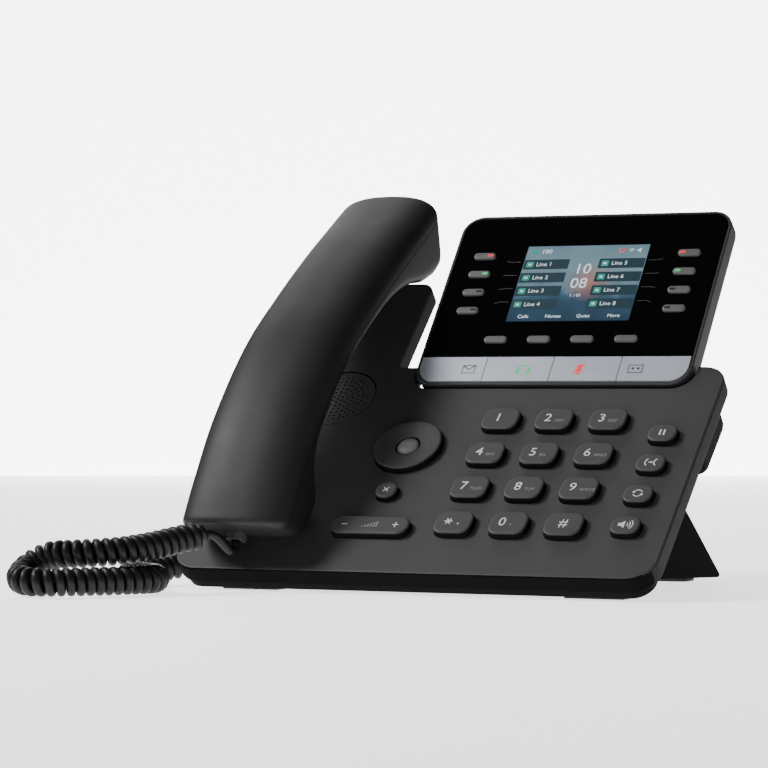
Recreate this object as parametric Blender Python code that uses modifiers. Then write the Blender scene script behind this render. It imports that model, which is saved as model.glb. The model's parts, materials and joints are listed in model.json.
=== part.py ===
"""Desk telephone with a handset, a tilting colour display, 36 keys and a curly cord.

Lengths are in metres and +Z is up. The telephone stands on the XY plane and faces -Y.
Most pieces are laid out in one of two sloping frames, each with X to the right, Y up its
slope and Z out of its face: the slab frame of the body, and the frame of the display.
"""

import math

import bmesh
import bpy
from mathutils import Matrix, Vector
from mathutils.geometry import interpolate_bezier

# Body: a slab that leans back, L-shaped seen from its face. The tall arm carries the handset.
SLOPE = math.radians(40.7)
SLAB_FRONT = (0.0, -0.0791, 0.00898)  # top front edge of the slab, on the desk
DESK_SHIFT = (0.00206, 0.00495, 0)  # centres the telephone, with its handset, on the origin
RIGHT_WIDTH = 0.1071
RIGHT_TAPER = 0.0168  # this side leans in by this much per metre up the slope
LEFT_WIDTH = 0.1115
LEFT_TAPER = 0.0390
BODY_LENGTH = 0.131
ARM_LENGTH = 0.190
ARM_RIGHT = -0.0497
ARM_TAPER = 0.0026
FRONT_CORNER = 0.012
REAR_CORNER = 0.011
ARM_CORNER = 0.006
ARM_FILLET = 0.003
SKIN = 0.0024  # wall thickness of the moulded covers
SIDE_DEPTH = 0.0083
UNDERSIDE = -0.0122
UNDER_INSET = 0.003
UNDER_FRONT = 0.0012
GAP = 0.0003
TROUGH_FRONT = 0.094
TROUGH_REAR = 0.1272
TROUGH_HALF_WIDTH = 0.098
TROUGH_BOTTOM = -0.032

# Display: a thin box whose lower edge sits in a pocket of the slab.
DISPLAY_WIDTH = 0.1287
DISPLAY_HEIGHT = 0.0974
DISPLAY_THICKNESS = 0.011
DISPLAY_CORNER = 0.0095
DISPLAY_LEAN = math.radians(10.9)  # at rest, measured from the slab
DISPLAY_FOOT = (0.0256, 0.1183, 0.0008)  # middle of its lower front edge, in the slab frame
HINGE_IN_DISPLAY = (0.007, -0.006)  # up the display, and out of its face
HINGE_RADIUS = 0.0016
RIM = 0.0013
FASCIA_THICKNESS = 0.002
POCKET_SIDE = 0.001
POCKET_FRONT = 0.1168
POCKET_FLOOR = -0.014
STRIP_TOP = 0.0152
SCREEN = (0.0571, 0.0582, 0.0438)  # height of its middle, width and height

# Keys: middles in the slab frame, except those of the display.
KEY_TOP = 0.003
KEY_HOLE_GAP = 0.00035
DIAL_SIZE = (0.0168, 0.0134, 0.0046)  # width, height and corner radius
DIAL_COLUMNS = (0.0126, 0.03715, 0.0616)
DIAL_ROWS = (0.0935, 0.0717, 0.0503, 0.0286)
DIAL_NAMES = ("1 2 3", "4 5 6", "7 8 9", "star 0 hash")
SIDE_SIZE = (0.0128, 0.0103, 0.0043)
SIDE_COLUMN = 0.0884
SIDE_ROWS = (0.0850, 0.0664, 0.0475, 0.0287)
SIDE_NAMES = ("key_hold", "key_transfer", "key_redial", "key_speaker")
RING_CENTRE = (-0.0252, 0.0764)
RING_RADII = (0.0056, 0.0153)
OK_RADIUS = 0.0050
CANCEL_CENTRE = (-0.0250, 0.0478)
CANCEL_RADIUS = 0.0049
VOLUME_CENTRE = (-0.0247, 0.0260)
VOLUME_SIZE = (0.0360, 0.0107, 0.0053)
LINE_SIZE = (0.0105, 0.0036, 0.0017)
LINE_COLUMN = 0.0486
LINE_ROWS = (0.0730, 0.0625, 0.0520, 0.0415)
SOFT_SIZE = (0.0108, 0.0036, 0.0017)
SOFT_PITCH = 0.0204
SOFT_ROW = 0.0247
DISPLAY_KEY_TOP = 0.0010
STRIP_NAMES = ("key_message", "key_headset", "key_mute", "key_page")

# Handset: a curved bar whose two ends reach down to the slab.
HANDSET_MIDDLE = -0.0782
HANDSET_HALF_WIDTH = 0.0245
HANDSET_ENDS = (0.008, 0.2185)
HANDSET_CROWN = (  # how far its back swells over that edge
    (0.008, 0.0052), (0.060, 0.0076), (0.110, 0.0084), (0.170, 0.0082), (0.2185, 0.0072),
)
HANDSET_PARTING = 0.0045
HANDSET_SKIN = 0.0018
HANDSET_EDGE = (  # the side edge of its back: distance up the slope, height over the slab
    (0.008, 0.0170), (0.028, 0.0235), (0.058, 0.0312), (0.100, 0.0355),
    (0.135, 0.0330), (0.171, 0.0285), (0.201, 0.0235), (0.2185, 0.0205),
)
HANDSET_DEPTH = (  # from that edge to the inner face
    (0.008, 0.0150), (0.012, 0.0190), (0.020, 0.0224), (0.028, 0.0249), (0.033, 0.0225),
    (0.038, 0.0180), (0.046, 0.0145), (0.060, 0.0130), (0.110, 0.0125), (0.150, 0.0130),
    (0.168, 0.0145), (0.178, 0.0165), (0.187, 0.0195), (0.194, 0.0228), (0.201, 0.0246),
    (0.209, 0.0263), (0.2185, 0.0255),
)
HANDSET_FAN = math.radians(29)  # how far its end sections lean away from its middle one
EARPIECE = (0.2060, 0.0165, 0.0075, 0.0040)  # station, depth, radius and thickness
MICROPHONE = (0.0220, 0.0170, 0.0030, 0.0022)
PLUG_SIZE = (0.0070, 0.0058)
HANDSET_JACK = (-0.0800, 0.0098)  # across, and depth below the side edge
PLUG_OUT = 0.0032  # how far the handset's plug stands out of its jack

# Stand, feet and sockets. The stand's side, as (Y, Z), runs from its heel up its rear edge.
STAND_HALF_WIDTH = 0.0803
STAND_SIDE = ((0.0802, 0.0014), (0.0399, 0.0290), (0.0108, 0.0479), (-0.0001, 0.0600),
              (-0.0345, 0.0304), (-0.0131, 0.0050))
STAND_HOLLOW = ((0.0580, -0.0020), (0.0580, 0.0048), (0.0682, 0.0048), (0.0382, 0.0264),
                (0.0160, 0.0409), (0.0260, 0.0560), (-0.0080, 0.0750), (-0.0600, 0.0400),
                (-0.0600, -0.0020))
STAND_WALL = 0.003
CABLE_WINDOW = (0.064, 0.020)  # its width, and its height up the stand's rear panel
PAD = (0.140, 0.014, 0.0013, 0.0680)  # width, length, thickness and Y
FOOT_SIDE = ((-0.0672, 0.0), (-0.0581, 0.0), (-0.0581, 0.0106), (-0.0672, 0.0027))
FOOT_WIDTH = 0.026
FOOT_X = 0.078
SPEAKER_CENTRE = (-0.0717, 0.110)
SPEAKER_RADIUS = 0.0175
BASE_JACK = (-0.0597, -0.022)  # across, and height over the slab, in the trough's front wall
SOCKETS = (  # middle across, width, height: two network sockets and the headset's
    (-0.036, 0.0120, 0.0086), (-0.012, 0.0120, 0.0086), (0.010, 0.0078, 0.0066),
)
SOCKET_HEIGHT = -0.022
SOCKET_DEPTH = 0.012
JACK_BLOCK = ((-0.0670, 0.0968, -0.0285), (0.0180, 0.1120, -0.0155))  # two opposite corners
BOARD = ((-0.0940, 0.0120, -0.0084), (0.0940, 0.0920, -0.0068))
HOOK_CENTRE = (-0.0782, 0.0340)
HOOK_SIZE = (0.006, 0.010, 0.002)
HOOK_TIP = 0.0002

# Curly cord. Its coil is a plain tube of the coil's outer diameter.
COIL_DIAMETER = 0.0122
LEAD_DIAMETER = 0.0038
COIL_ROUTE = (
    (-0.0860, -0.0915, 0.0238), (-0.0927, -0.1007, 0.0223), (-0.0993, -0.1130, 0.0200),
    (-0.1060, -0.1250, 0.0184), (-0.1155, -0.1330, 0.0175), (-0.1260, -0.1360, 0.0170),
    (-0.1350, -0.1360, 0.0160), (-0.1420, -0.1390, 0.0120), (-0.1410, -0.1485, 0.0078),
    (-0.1340, -0.1550, 0.0065), (-0.1250, -0.1540, 0.0063), (-0.1160, -0.1470, 0.0063),
    (-0.1085, -0.1385, 0.0063), (-0.1015, -0.1290, 0.0063), (-0.0975, -0.1180, 0.0063),
    (-0.1010, -0.1075, 0.0063), (-0.1085, -0.1005, 0.0063), (-0.1165, -0.0945, 0.0063),
    (-0.1240, -0.0870, 0.0063), (-0.1285, -0.0770, 0.0063), (-0.1290, -0.0665, 0.0065),
    (-0.1250, -0.0565, 0.0075), (-0.1175, -0.0490, 0.0098), (-0.1090, -0.0435, 0.0120),
)
HANDSET_LEAD_ROUTE = (
    (-0.0800, -0.0762, 0.0203), (-0.0800, -0.0773, 0.0176), (-0.0803, -0.0799, 0.0166),
    (-0.0812, -0.0832, 0.0188), (-0.0827, -0.0864, 0.0220), (-0.0843, -0.0891, 0.0238),
    (-0.0860, -0.0915, 0.0238),
)
BASE_LEAD_ROUTE = (
    (-0.0597, 0.0015, 0.0493), (-0.0597, -0.0030, 0.0452), (-0.0598, -0.0085, 0.0370),
    (-0.0600, -0.0130, 0.0270), (-0.0608, -0.0175, 0.0160), (-0.0630, -0.0225, 0.0075),
    (-0.0675, -0.0275, 0.0032), (-0.0740, -0.0310, 0.0024), (-0.0810, -0.0335, 0.0030),
    (-0.0895, -0.0353, 0.0055), (-0.0965, -0.0376, 0.0098), (-0.1030, -0.0402, 0.0123),
    (-0.1086, -0.0432, 0.0121),
)

CORNER_STEPS = 3


# ---------------------------------------------------------------- scene and materials

def clear_scene():
    for obj in list(bpy.data.objects):
        bpy.data.objects.remove(obj)


def make_collection(name):
    collection = bpy.data.collections.new(name)
    bpy.context.scene.collection.children.link(collection)
    return collection


def make_material(name, colour, roughness, metallic=0.0):
    material = bpy.data.materials.new(name)
    material.use_nodes = True
    shader = material.node_tree.nodes["Principled BSDF"]
    shader.inputs["Base Color"].default_value = (*colour, 1.0)
    shader.inputs["Roughness"].default_value = roughness
    shader.inputs["Metallic"].default_value = metallic
    return material


def make_frame(name, location, lean, parent=None):
    """An empty whose XY plane leans back from its parent's by an angle about X."""
    frame = bpy.data.objects.new(name, None)
    frame.location = location
    frame.rotation_euler = (lean, 0, 0)
    frame.parent = parent
    telephone.objects.link(frame)
    return frame


# ---------------------------------------------------------------- outlines

def rounded(corners, steps=CORNER_STEPS):
    """The points of a closed outline from its corners (x, y, radius), each corner an arc."""
    points = []
    for i, (x, y, radius) in enumerate(corners):
        corner = Vector((x, y))
        if not radius:
            points.append(corner)
            continue
        before = (Vector(corners[i - 1][:2]) - corner).normalized()
        after = (Vector(corners[(i + 1) % len(corners)][:2]) - corner).normalized()
        half = before.angle(after) / 2
        middle = corner + (before + after).normalized() * radius / math.sin(half)
        first = corner + before * radius / math.tan(half) - middle
        turn = first.angle_signed(corner + after * radius / math.tan(half) - middle)
        for step in range(steps + 1):
            points.append(middle + Matrix.Rotation(-turn * step / steps, 2) @ first)
    return points


def rectangle(width, height, radius, centre=(0, 0)):
    x, y = centre
    return rounded([
        (x - width / 2, y - height / 2, radius), (x + width / 2, y - height / 2, radius),
        (x + width / 2, y + height / 2, radius), (x - width / 2, y + height / 2, radius),
    ])


def circle(radius, centre=(0, 0), sides=24):
    angles = [2 * math.pi * i / sides for i in range(sides)]
    return [Vector((centre[0] + radius * math.cos(a), centre[1] + radius * math.sin(a)))
            for a in angles]


def right_side(along, inset=0.0):
    return RIGHT_WIDTH - RIGHT_TAPER * along - inset


def left_side(along, inset=0.0):
    return inset + LEFT_TAPER * along - LEFT_WIDTH


def slab_outline(inset, front):
    """The L-shaped slab seen from its face, its sides moved in, with the display's pocket."""
    left, right = pocket_sides(inset)
    floor, high, top = POCKET_FRONT - inset, BODY_LENGTH - inset, ARM_LENGTH - inset
    corner = FRONT_CORNER - inset
    ear = right_side(high, inset) - right
    return rounded([
        (left_side(front, inset), front, corner), (right_side(front, inset), front, corner),
        (right_side(high, inset), high, min(REAR_CORNER - inset, 0.8 * ear)), (right, high, 0),
        (right, floor, DISPLAY_CORNER + inset), (left, floor, DISPLAY_CORNER + inset),
        (left, high, 0), (ARM_RIGHT - inset, high, ARM_FILLET + inset),
        (ARM_RIGHT - ARM_TAPER - inset, top, ARM_CORNER),
        (left_side(top, inset), top, ARM_CORNER),
    ])


def pocket_sides(wall=0.0):
    half = DISPLAY_WIDTH / 2 + POCKET_SIDE + wall
    return DISPLAY_FOOT[0] - half, DISPLAY_FOOT[0] + half


# ---------------------------------------------------------------- solids

def place(name, mesh, parent, location=(0, 0, 0), material=None, collection=None):
    obj = bpy.data.objects.new(name, mesh)
    obj.location = location
    obj.parent = parent
    if material and not mesh.materials:
        mesh.materials.append(material)
    (collection or telephone).objects.link(obj)
    return obj


def mesh_from(obj):
    """The evaluated mesh of an object, its loose caps welded on. The object is removed."""
    graph = bpy.context.evaluated_depsgraph_get()
    mesh = bpy.data.meshes.new_from_object(obj.evaluated_get(graph))
    shape = bmesh.new()
    shape.from_mesh(mesh)
    bmesh.ops.remove_doubles(shape, verts=shape.verts, dist=1e-6)
    bmesh.ops.recalc_face_normals(shape, faces=shape.faces)
    shape.to_mesh(mesh)
    shape.free()
    bpy.data.objects.remove(obj)
    return mesh


def prism(outlines, low, high):
    """A flat plate between two heights. An outline inside another one is a hole."""
    curve = bpy.data.curves.new("plate", "CURVE")
    curve.dimensions = "2D"
    curve.fill_mode = "BOTH"
    curve.extrude = (high - low) / 2
    for points in outlines:
        spline = curve.splines.new("POLY")
        spline.points.add(len(points) - 1)
        for point, (x, y) in zip(spline.points, points):
            point.co = (x, y, 0, 1)
        spline.use_cyclic_u = True
    obj = bpy.data.objects.new("plate", curve)
    telephone.objects.link(obj)
    mesh = mesh_from(obj)
    mesh.transform(Matrix.Translation((0, 0, (low + high) / 2)))
    return mesh


def loft(rings):
    """A solid through rings of equally many points (x, y, z), with flat ends."""
    shape = bmesh.new()
    rows = [[shape.verts.new(point) for point in ring] for ring in rings]
    count = len(rows[0])
    for lower, upper in zip(rows, rows[1:]):
        for i in range(count):
            j = (i + 1) % count
            shape.faces.new((lower[i], lower[j], upper[j], upper[i]))
    shape.faces.new(rows[0])
    shape.faces.new(rows[-1])
    bmesh.ops.recalc_face_normals(shape, faces=shape.faces)
    mesh = bpy.data.meshes.new("loft")
    shape.to_mesh(mesh)
    shape.free()
    return mesh


def stepped(levels):
    """A solid from outlines with equally many points, each at its own height."""
    return loft([[(x, y, height) for x, y in outline] for outline, height in levels])


def turned(profile, sides=24):
    """A solid of revolution about Z from (radius, height) pairs that run down its outer side."""
    mesh = bpy.data.meshes.new("turned")
    edges = [(i, i + 1) for i in range(len(profile) - 1)]
    mesh.from_pydata([(radius, 0, height) for radius, height in profile], edges, [])
    obj = bpy.data.objects.new("turned", mesh)
    telephone.objects.link(obj)
    screw = obj.modifiers.new("turn", "SCREW")
    screw.steps = screw.render_steps = sides
    screw.use_merge_vertices = True
    screw.merge_threshold = 1e-6
    return mesh_from(obj)


def box(size, centre):
    shape = bmesh.new()
    bmesh.ops.create_cube(shape, size=1.0)
    mesh = bpy.data.meshes.new("box")
    shape.to_mesh(mesh)
    shape.free()
    mesh.transform(Matrix.Translation(centre) @ Matrix.Diagonal((*size, 1)))
    return mesh


def combine(obj, mesh, operation, location=(0, 0, 0)):
    """Adds a Boolean of the mesh, which lies in the frame that the object's parent gives."""
    name = f"{obj.name}_{operation.lower()}_{len(obj.modifiers)}"
    tool = place(name, mesh, obj.parent, location, collection=cutters)
    tool.hide_render = True
    tool.display_type = "WIRE"
    boolean = obj.modifiers.new(name, "BOOLEAN")
    boolean.operation = operation
    boolean.object = tool


def smooth_route(points, spacing, trim=0.0):
    """Evenly spaced points on a smooth curve through the route's own points."""
    points = [Vector(point) for point in points]
    tangents = [(points[min(i + 1, len(points) - 1)] - points[max(i - 1, 0)]) / 2
                for i in range(len(points))]
    fine = []
    for (a, b), (ta, tb) in zip(zip(points, points[1:]), zip(tangents, tangents[1:])):
        fine += interpolate_bezier(a, a + ta / 3, b - tb / 3, b, 17)[:-1]
    fine.append(points[-1])
    lengths = [0.0]
    for a, b in zip(fine, fine[1:]):
        lengths.append(lengths[-1] + (b - a).length)
    usable = lengths[-1] - 2 * trim
    count = max(2, round(usable / spacing))
    result, i = [], 0
    for step in range(count + 1):
        target = trim + usable * step / count
        while lengths[i + 1] < target and i < len(lengths) - 2:
            i += 1
        share = (target - lengths[i]) / (lengths[i + 1] - lengths[i])
        result.append(fine[i].lerp(fine[i + 1], share))
    return result


def tube(name, points, diameter, material, resolution=2):
    curve = bpy.data.curves.new(name, "CURVE")
    curve.dimensions = "3D"
    curve.bevel_depth = diameter / 2
    curve.bevel_resolution = resolution
    curve.use_fill_caps = True
    spline = curve.splines.new("POLY")
    spline.points.add(len(points) - 1)
    for point, place_at in zip(spline.points, points):
        point.co = (*place_at, 1)
    curve.materials.append(material)
    return place(name, curve, desk)


# ---------------------------------------------------------------- covers of the body

def cover_openings(extra):
    """Every opening of the top cover, widened by a gap."""
    outlines = [rectangle(*grown(DIAL_SIZE, extra), (column, row))
                for row in DIAL_ROWS for column in DIAL_COLUMNS]
    outlines += [rectangle(*grown(SIDE_SIZE, extra), (SIDE_COLUMN, row)) for row in SIDE_ROWS]
    return outlines + [
        rectangle(*grown(VOLUME_SIZE, extra), VOLUME_CENTRE),
        circle(RING_RADII[1] + extra, RING_CENTRE, 28),
        circle(CANCEL_RADIUS + extra, CANCEL_CENTRE, 16),
        circle(SPEAKER_RADIUS + extra, SPEAKER_CENTRE),
        rectangle(*grown(HOOK_SIZE, extra), HOOK_CENTRE),
    ]


def grown(size, extra):
    width, height, radius = size
    return width + 2 * extra, height + 2 * extra, radius + extra


def hinge_in_slab():
    """The display's hinge axis in the slab frame: up the slope, and over the slab."""
    up, out = HINGE_IN_DISPLAY
    sine, cosine = math.sin(DISPLAY_LEAN), math.cos(DISPLAY_LEAN)
    return (DISPLAY_FOOT[1] + up * cosine - out * sine,
            DISPLAY_FOOT[2] + up * sine + out * cosine)


def rod_across(radius, length, along, height):
    """A rod along X, centred on the display."""
    mesh = turned([(0, length / 2), (radius, length / 2), (radius, -length / 2),
                   (0, -length / 2)], 12)
    mesh.transform(Matrix.Translation((DISPLAY_FOOT[0], along, height))
                   @ Matrix.Rotation(math.pi / 2, 4, "Y"))
    return mesh


def make_top_cover():
    block = prism([slab_outline(0.0, 0.0)], -SIDE_DEPTH, 0.0)
    cover = place("top_cover", block, slab, material=charcoal)
    combine(cover, prism([slab_outline(SKIN, SKIN)], -2 * SIDE_DEPTH, -SKIN), "DIFFERENCE")
    combine(cover, prism(cover_openings(KEY_HOLE_GAP), -2 * SKIN, SKIN), "DIFFERENCE")
    left, right = pocket_sides()
    bore = rod_across(HINGE_RADIUS + GAP, right - left + 0.012, *hinge_in_slab())
    combine(cover, bore, "DIFFERENCE")


def box_between(low, high):
    size = [b - a for a, b in zip(low, high)]
    return box(size, [(a + b) / 2 for a, b in zip(low, high)])


def make_bottom_cover():
    rim_top = -SIDE_DEPTH - GAP
    tray = prism([slab_outline(UNDER_INSET, UNDER_FRONT)], UNDERSIDE, rim_top)
    cover = place("bottom_cover", tray, slab, material=dark_plastic)
    middle, length = (TROUGH_FRONT + TROUGH_REAR) / 2, TROUGH_REAR - TROUGH_FRONT
    outlines = [rectangle(2 * TROUGH_HALF_WIDTH - cut, length - cut, 0.003, (0, middle))
                for cut in (0.006, 0.0, 0.0)]
    levels = (TROUGH_BOTTOM, TROUGH_BOTTOM + 0.004, rim_top - 0.0008)
    combine(cover, stepped(list(zip(outlines, levels))), "UNION")
    hollow = UNDER_INSET + SKIN
    above = 0.002
    combine(cover, prism([slab_outline(hollow, hollow)], UNDERSIDE + SKIN, above), "DIFFERENCE")
    side, floor = TROUGH_HALF_WIDTH - SKIN, TROUGH_BOTTOM + SKIN
    left, right = pocket_sides()
    split, rear = POCKET_FRONT - SKIN, TROUGH_REAR - SKIN
    for low, high in (
        ((-side, TROUGH_FRONT + SKIN, floor), (side, split, above)),
        ((-side, split - 0.001, floor), (left - SKIN * 1.8, rear, above)),
        ((left - SKIN * 2, split - 0.001, floor), (right, rear, POCKET_FLOOR - SKIN)),
        ((left, POCKET_FRONT, POCKET_FLOOR), (right, BODY_LENGTH + 0.01, above)),
    ):
        combine(cover, box_between(low, high), "DIFFERENCE")
    for across, width, height in socket_list():
        window = box((width + 0.001, 0.006, height + 0.001),
                     (across, TROUGH_FRONT, SOCKET_HEIGHT))
        combine(cover, window, "DIFFERENCE")


def socket_list():
    return SOCKETS + ((BASE_JACK[0], 0.0078, 0.0066),)


def make_inner_pieces():
    place("main_board", box_between(*BOARD), slab, material=board_green)
    block = place("jack_block", box_between(*JACK_BLOCK), slab, material=black_plastic)
    front = JACK_BLOCK[0][1]
    for across, width, height in socket_list():
        low = (across - width / 2, front - 0.001, SOCKET_HEIGHT - height / 2)
        high = (across + width / 2, front + SOCKET_DEPTH, SOCKET_HEIGHT + height / 2)
        combine(block, box_between(low, high), "DIFFERENCE")
    x, y = SPEAKER_CENTRE
    grille = turned([(0, -0.0003), (SPEAKER_RADIUS, -0.0003), (SPEAKER_RADIUS, -0.0020),
                     (0, -0.0020)])
    place("speaker_grille", grille, slab, (x, y, 0), dark_plastic)
    driver = turned([(0, -0.0030), (0.0160, -0.0030), (0.0160, -0.0045), (0.0100, -0.0078),
                     (0, -0.0078)])
    place("speaker_driver", driver, slab, (x, y, 0), steel)
    left, right = pocket_sides()
    shaft = rod_across(HINGE_RADIUS, right - left + 0.010, *hinge_in_slab())
    place("hinge_shaft", shaft, slab, material=steel)
    flange = grown(HOOK_SIZE, 0.001)
    plunger = stepped([(rectangle(*HOOK_SIZE), 0.0), (rectangle(*HOOK_SIZE), -0.0060),
                       (rectangle(*flange), -0.0060), (rectangle(*flange), -0.0066)])
    place("hook_switch", plunger, slab, (*HOOK_CENTRE, HOOK_TIP), black_plastic)


# ---------------------------------------------------------------- keys

def key_mesh(size, top, flange_top, flange, step):
    """A key whose cap has softened top edges and whose foot is held under its panel."""
    cap = rectangle(*size)
    return stepped([(rectangle(*grown(size, -step)), top), (cap, top - step), (cap, flange_top),
                    (rectangle(*grown(size, flange)), flange_top),
                    (rectangle(*grown(size, flange)), flange_top - flange)])


def round_key_mesh(radius, flange_top, flange):
    return turned([(0, KEY_TOP), (radius - 0.0005, KEY_TOP), (radius, KEY_TOP - 0.0005),
                   (radius, flange_top), (radius + flange, flange_top),
                   (radius + flange, flange_top - 0.0008), (0, flange_top - 0.0008)], 16)


def make_body_keys():
    dial = key_mesh(DIAL_SIZE, KEY_TOP, -0.0027, 0.001, 0.0006)
    for row, names in zip(DIAL_ROWS, DIAL_NAMES):
        for column, name in zip(DIAL_COLUMNS, names.split()):
            place(f"key_{name}", dial, slab, (column, row, 0), charcoal)
    side = key_mesh(SIDE_SIZE, KEY_TOP, -0.0027, 0.001, 0.0006)
    for row, name in zip(SIDE_ROWS, SIDE_NAMES):
        place(name, side, slab, (SIDE_COLUMN, row, 0), charcoal)
    rocker = key_mesh(VOLUME_SIZE, KEY_TOP, -0.0033, 0.001, 0.0006)
    place("volume_rocker", rocker, slab, (*VOLUME_CENTRE, 0), charcoal)
    inner, outer = RING_RADII
    edge, foot = outer - 0.0006, outer + 0.0015
    ring = turned([(inner, 0.0026), (edge, KEY_TOP), (outer, KEY_TOP - 0.0006),
                   (outer, -0.0033), (foot, -0.0033), (foot, -0.0043), (inner, -0.0043),
                   (inner, 0.0026)], 28)
    place("nav_ring", ring, slab, (*RING_CENTRE, 0), charcoal)
    place("ok_key", round_key_mesh(OK_RADIUS, -0.0050, 0.0018), slab, (*RING_CENTRE, 0),
          key_grey)
    cancel = round_key_mesh(CANCEL_RADIUS, -0.0027, 0.0011)
    place("cancel_key", cancel, slab, (*CANCEL_CENTRE, 0), charcoal)


# ---------------------------------------------------------------- display

def display_outline(inset):
    return rectangle(DISPLAY_WIDTH - 2 * inset, DISPLAY_HEIGHT - 2 * inset,
                     DISPLAY_CORNER - inset, (0, DISPLAY_HEIGHT / 2))


def display_keys():
    """The name, middle and size of each key of the display's glossy panel."""
    keys = []
    for side, letter in ((-1, "l"), (1, "r")):
        for number, row in enumerate(LINE_ROWS, 1):
            keys.append((f"line_key_{letter}{number}", (side * LINE_COLUMN, row), LINE_SIZE))
    for number in range(4):
        centre = ((number - 1.5) * SOFT_PITCH, SOFT_ROW)
        keys.append((f"soft_key_{number + 1}", centre, SOFT_SIZE))
    return keys


def make_display():
    up, out = HINGE_IN_DISPLAY
    origin = Vector((0, -up, -out))  # display parts are laid out from its lower front edge
    outlines = [display_outline(inset) for inset in (0.0015, 0.0, 0.0)]
    back = stepped(list(zip(outlines, (-DISPLAY_THICKNESS, -0.0095, -0.0002))))
    rear = place("display_rear_cover", back, display, origin, charcoal)
    tool = prism([display_outline(RIM)], -0.009, 0.001)
    combine(rear, tool, "DIFFERENCE", origin)
    bore = turned([(0, 0.1), (HINGE_RADIUS + GAP, 0.1), (HINGE_RADIUS + GAP, -0.1), (0, -0.1)],
                  12)
    bore.transform(Matrix.Rotation(math.pi / 2, 4, "Y"))
    combine(rear, bore, "DIFFERENCE")
    inset = RIM + GAP
    half, top = DISPLAY_WIDTH / 2 - inset, DISPLAY_HEIGHT - inset
    corner = DISPLAY_CORNER - inset
    outline = rounded([(-half, STRIP_TOP, 0), (half, STRIP_TOP, 0), (half, top, corner),
                       (-half, top, corner)])
    holes = [rectangle(*grown(size, GAP), centre) for _, centre, size in display_keys()]
    middle, width, height = SCREEN
    holes.append(rectangle(width, height, 0.0008, (0, middle)))
    fascia = prism([outline] + holes, -FASCIA_THICKNESS, 0.0)
    place("display_fascia", fascia, display, origin, gloss_black)
    lcd = box((0.0640, 0.0500, 0.0028), (0, middle, -0.0037))
    place("lcd_module", lcd, display, origin, screen_blue)
    for name, centre, size in display_keys():
        key = key_mesh(size, DISPLAY_KEY_TOP, -FASCIA_THICKNESS - GAP, 0.0006, 0.0003)
        place(name, key, display, origin + Vector((*centre, 0)), key_grey)
    pitch = 2 * half / len(STRIP_NAMES)
    for number, name in enumerate(STRIP_NAMES):
        left = -half + number * pitch + GAP / 2
        right = left + pitch - GAP
        outline = rounded([(left, inset, corner if number == 0 else 0),
                           (right, inset, corner if number == 3 else 0),
                           (right, STRIP_TOP - GAP, 0), (left, STRIP_TOP - GAP, 0)])
        place(name, prism([outline], -0.0024, 0.0003), display, origin, silver)


# ---------------------------------------------------------------- handset

def value_at(table, x):
    """A smooth curve through the table's (x, value) pairs."""
    i = max(k for k in range(len(table) - 1) if table[k][0] <= x or k == 0)

    def slope(k):
        (x0, y0), (x1, y1) = table[max(k - 1, 0)], table[min(k + 1, len(table) - 1)]
        return (y1 - y0) / (x1 - x0)

    (x0, y0), (x1, y1) = table[i], table[i + 1]
    t, width = (x - x0) / (x1 - x0), x1 - x0
    return ((2 * t ** 3 - 3 * t ** 2 + 1) * y0 + (t ** 3 - 2 * t ** 2 + t) * width * slope(i)
            + (3 * t ** 2 - 2 * t ** 3) * y1 + (t ** 3 - t ** 2) * width * slope(i + 1))


def shrink(distance, radius):
    """How much an end with rounded edges has closed in, this far from its tip."""
    if distance >= radius:
        return 0.0
    return radius - math.sqrt(radius ** 2 - (radius - distance) ** 2)


def handset_stations():
    low, high = HANDSET_ENDS
    ends = (0.0, 0.0006, 0.0022, 0.0050)
    middle = [low + 0.012 + (high - low - 0.024) * i / 15 for i in range(16)]
    return [low + end for end in ends] + middle + [high - end for end in reversed(ends)]


def handset_axes(station):
    """The side edge's place at a station, and the direction from it to the inner face."""
    low, high = HANDSET_ENDS
    lean = HANDSET_FAN * (2 * station - low - high) / (high - low)
    edge = Vector((0, station, value_at(HANDSET_EDGE, station)))
    return edge, Vector((0, -math.sin(lean), -math.cos(lean)))


def handset_ring(station, section):
    edge, down = handset_axes(station)
    return [edge + Vector((HANDSET_MIDDLE + across, 0, 0)) + down * depth
            for across, depth in section]


def back_section(station):
    """The crowned back, from its parting line over a round shoulder to its middle."""
    distance = min(station - HANDSET_ENDS[0], HANDSET_ENDS[1] - station)
    half = HANDSET_HALF_WIDTH - shrink(distance, 0.0035)
    lower = shrink(distance, 0.002)
    wall = HANDSET_PARTING - 0.0014
    height = wall + value_at(HANDSET_CROWN, station)
    right = [(half, HANDSET_PARTING), (half, wall)]
    for step in range(1, 7):
        angle = math.pi / 2 * step / 7
        depth = wall - height * math.sin(angle) ** 0.8 + lower
        right.append((half * math.cos(angle) ** 0.8, min(depth, wall - 0.0001 * step)))
    left = [(-across, depth) for across, depth in right]
    return left + [(0, wall - height + lower)] + right[::-1]


def face_section(station):
    distance = min(station - HANDSET_ENDS[0], HANDSET_ENDS[1] - station)
    half = HANDSET_HALF_WIDTH - shrink(distance, 0.0035)
    depth = value_at(HANDSET_DEPTH, station) - shrink(distance, 0.002)
    rim = HANDSET_PARTING + GAP
    start = rim + 0.0010
    boxy = 2 + 7 * min(max((depth - 0.0125) / 0.006, 0), 1)
    section = [(half, rim)]
    for step in range(13):
        angle = math.pi * step / 12
        across = math.copysign(abs(math.cos(angle)) ** (2 / boxy), math.cos(angle))
        section.append((half * across, start + (depth - start) * math.sin(angle) ** (2 / boxy)))
    return section + [(-half, rim)]


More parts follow.
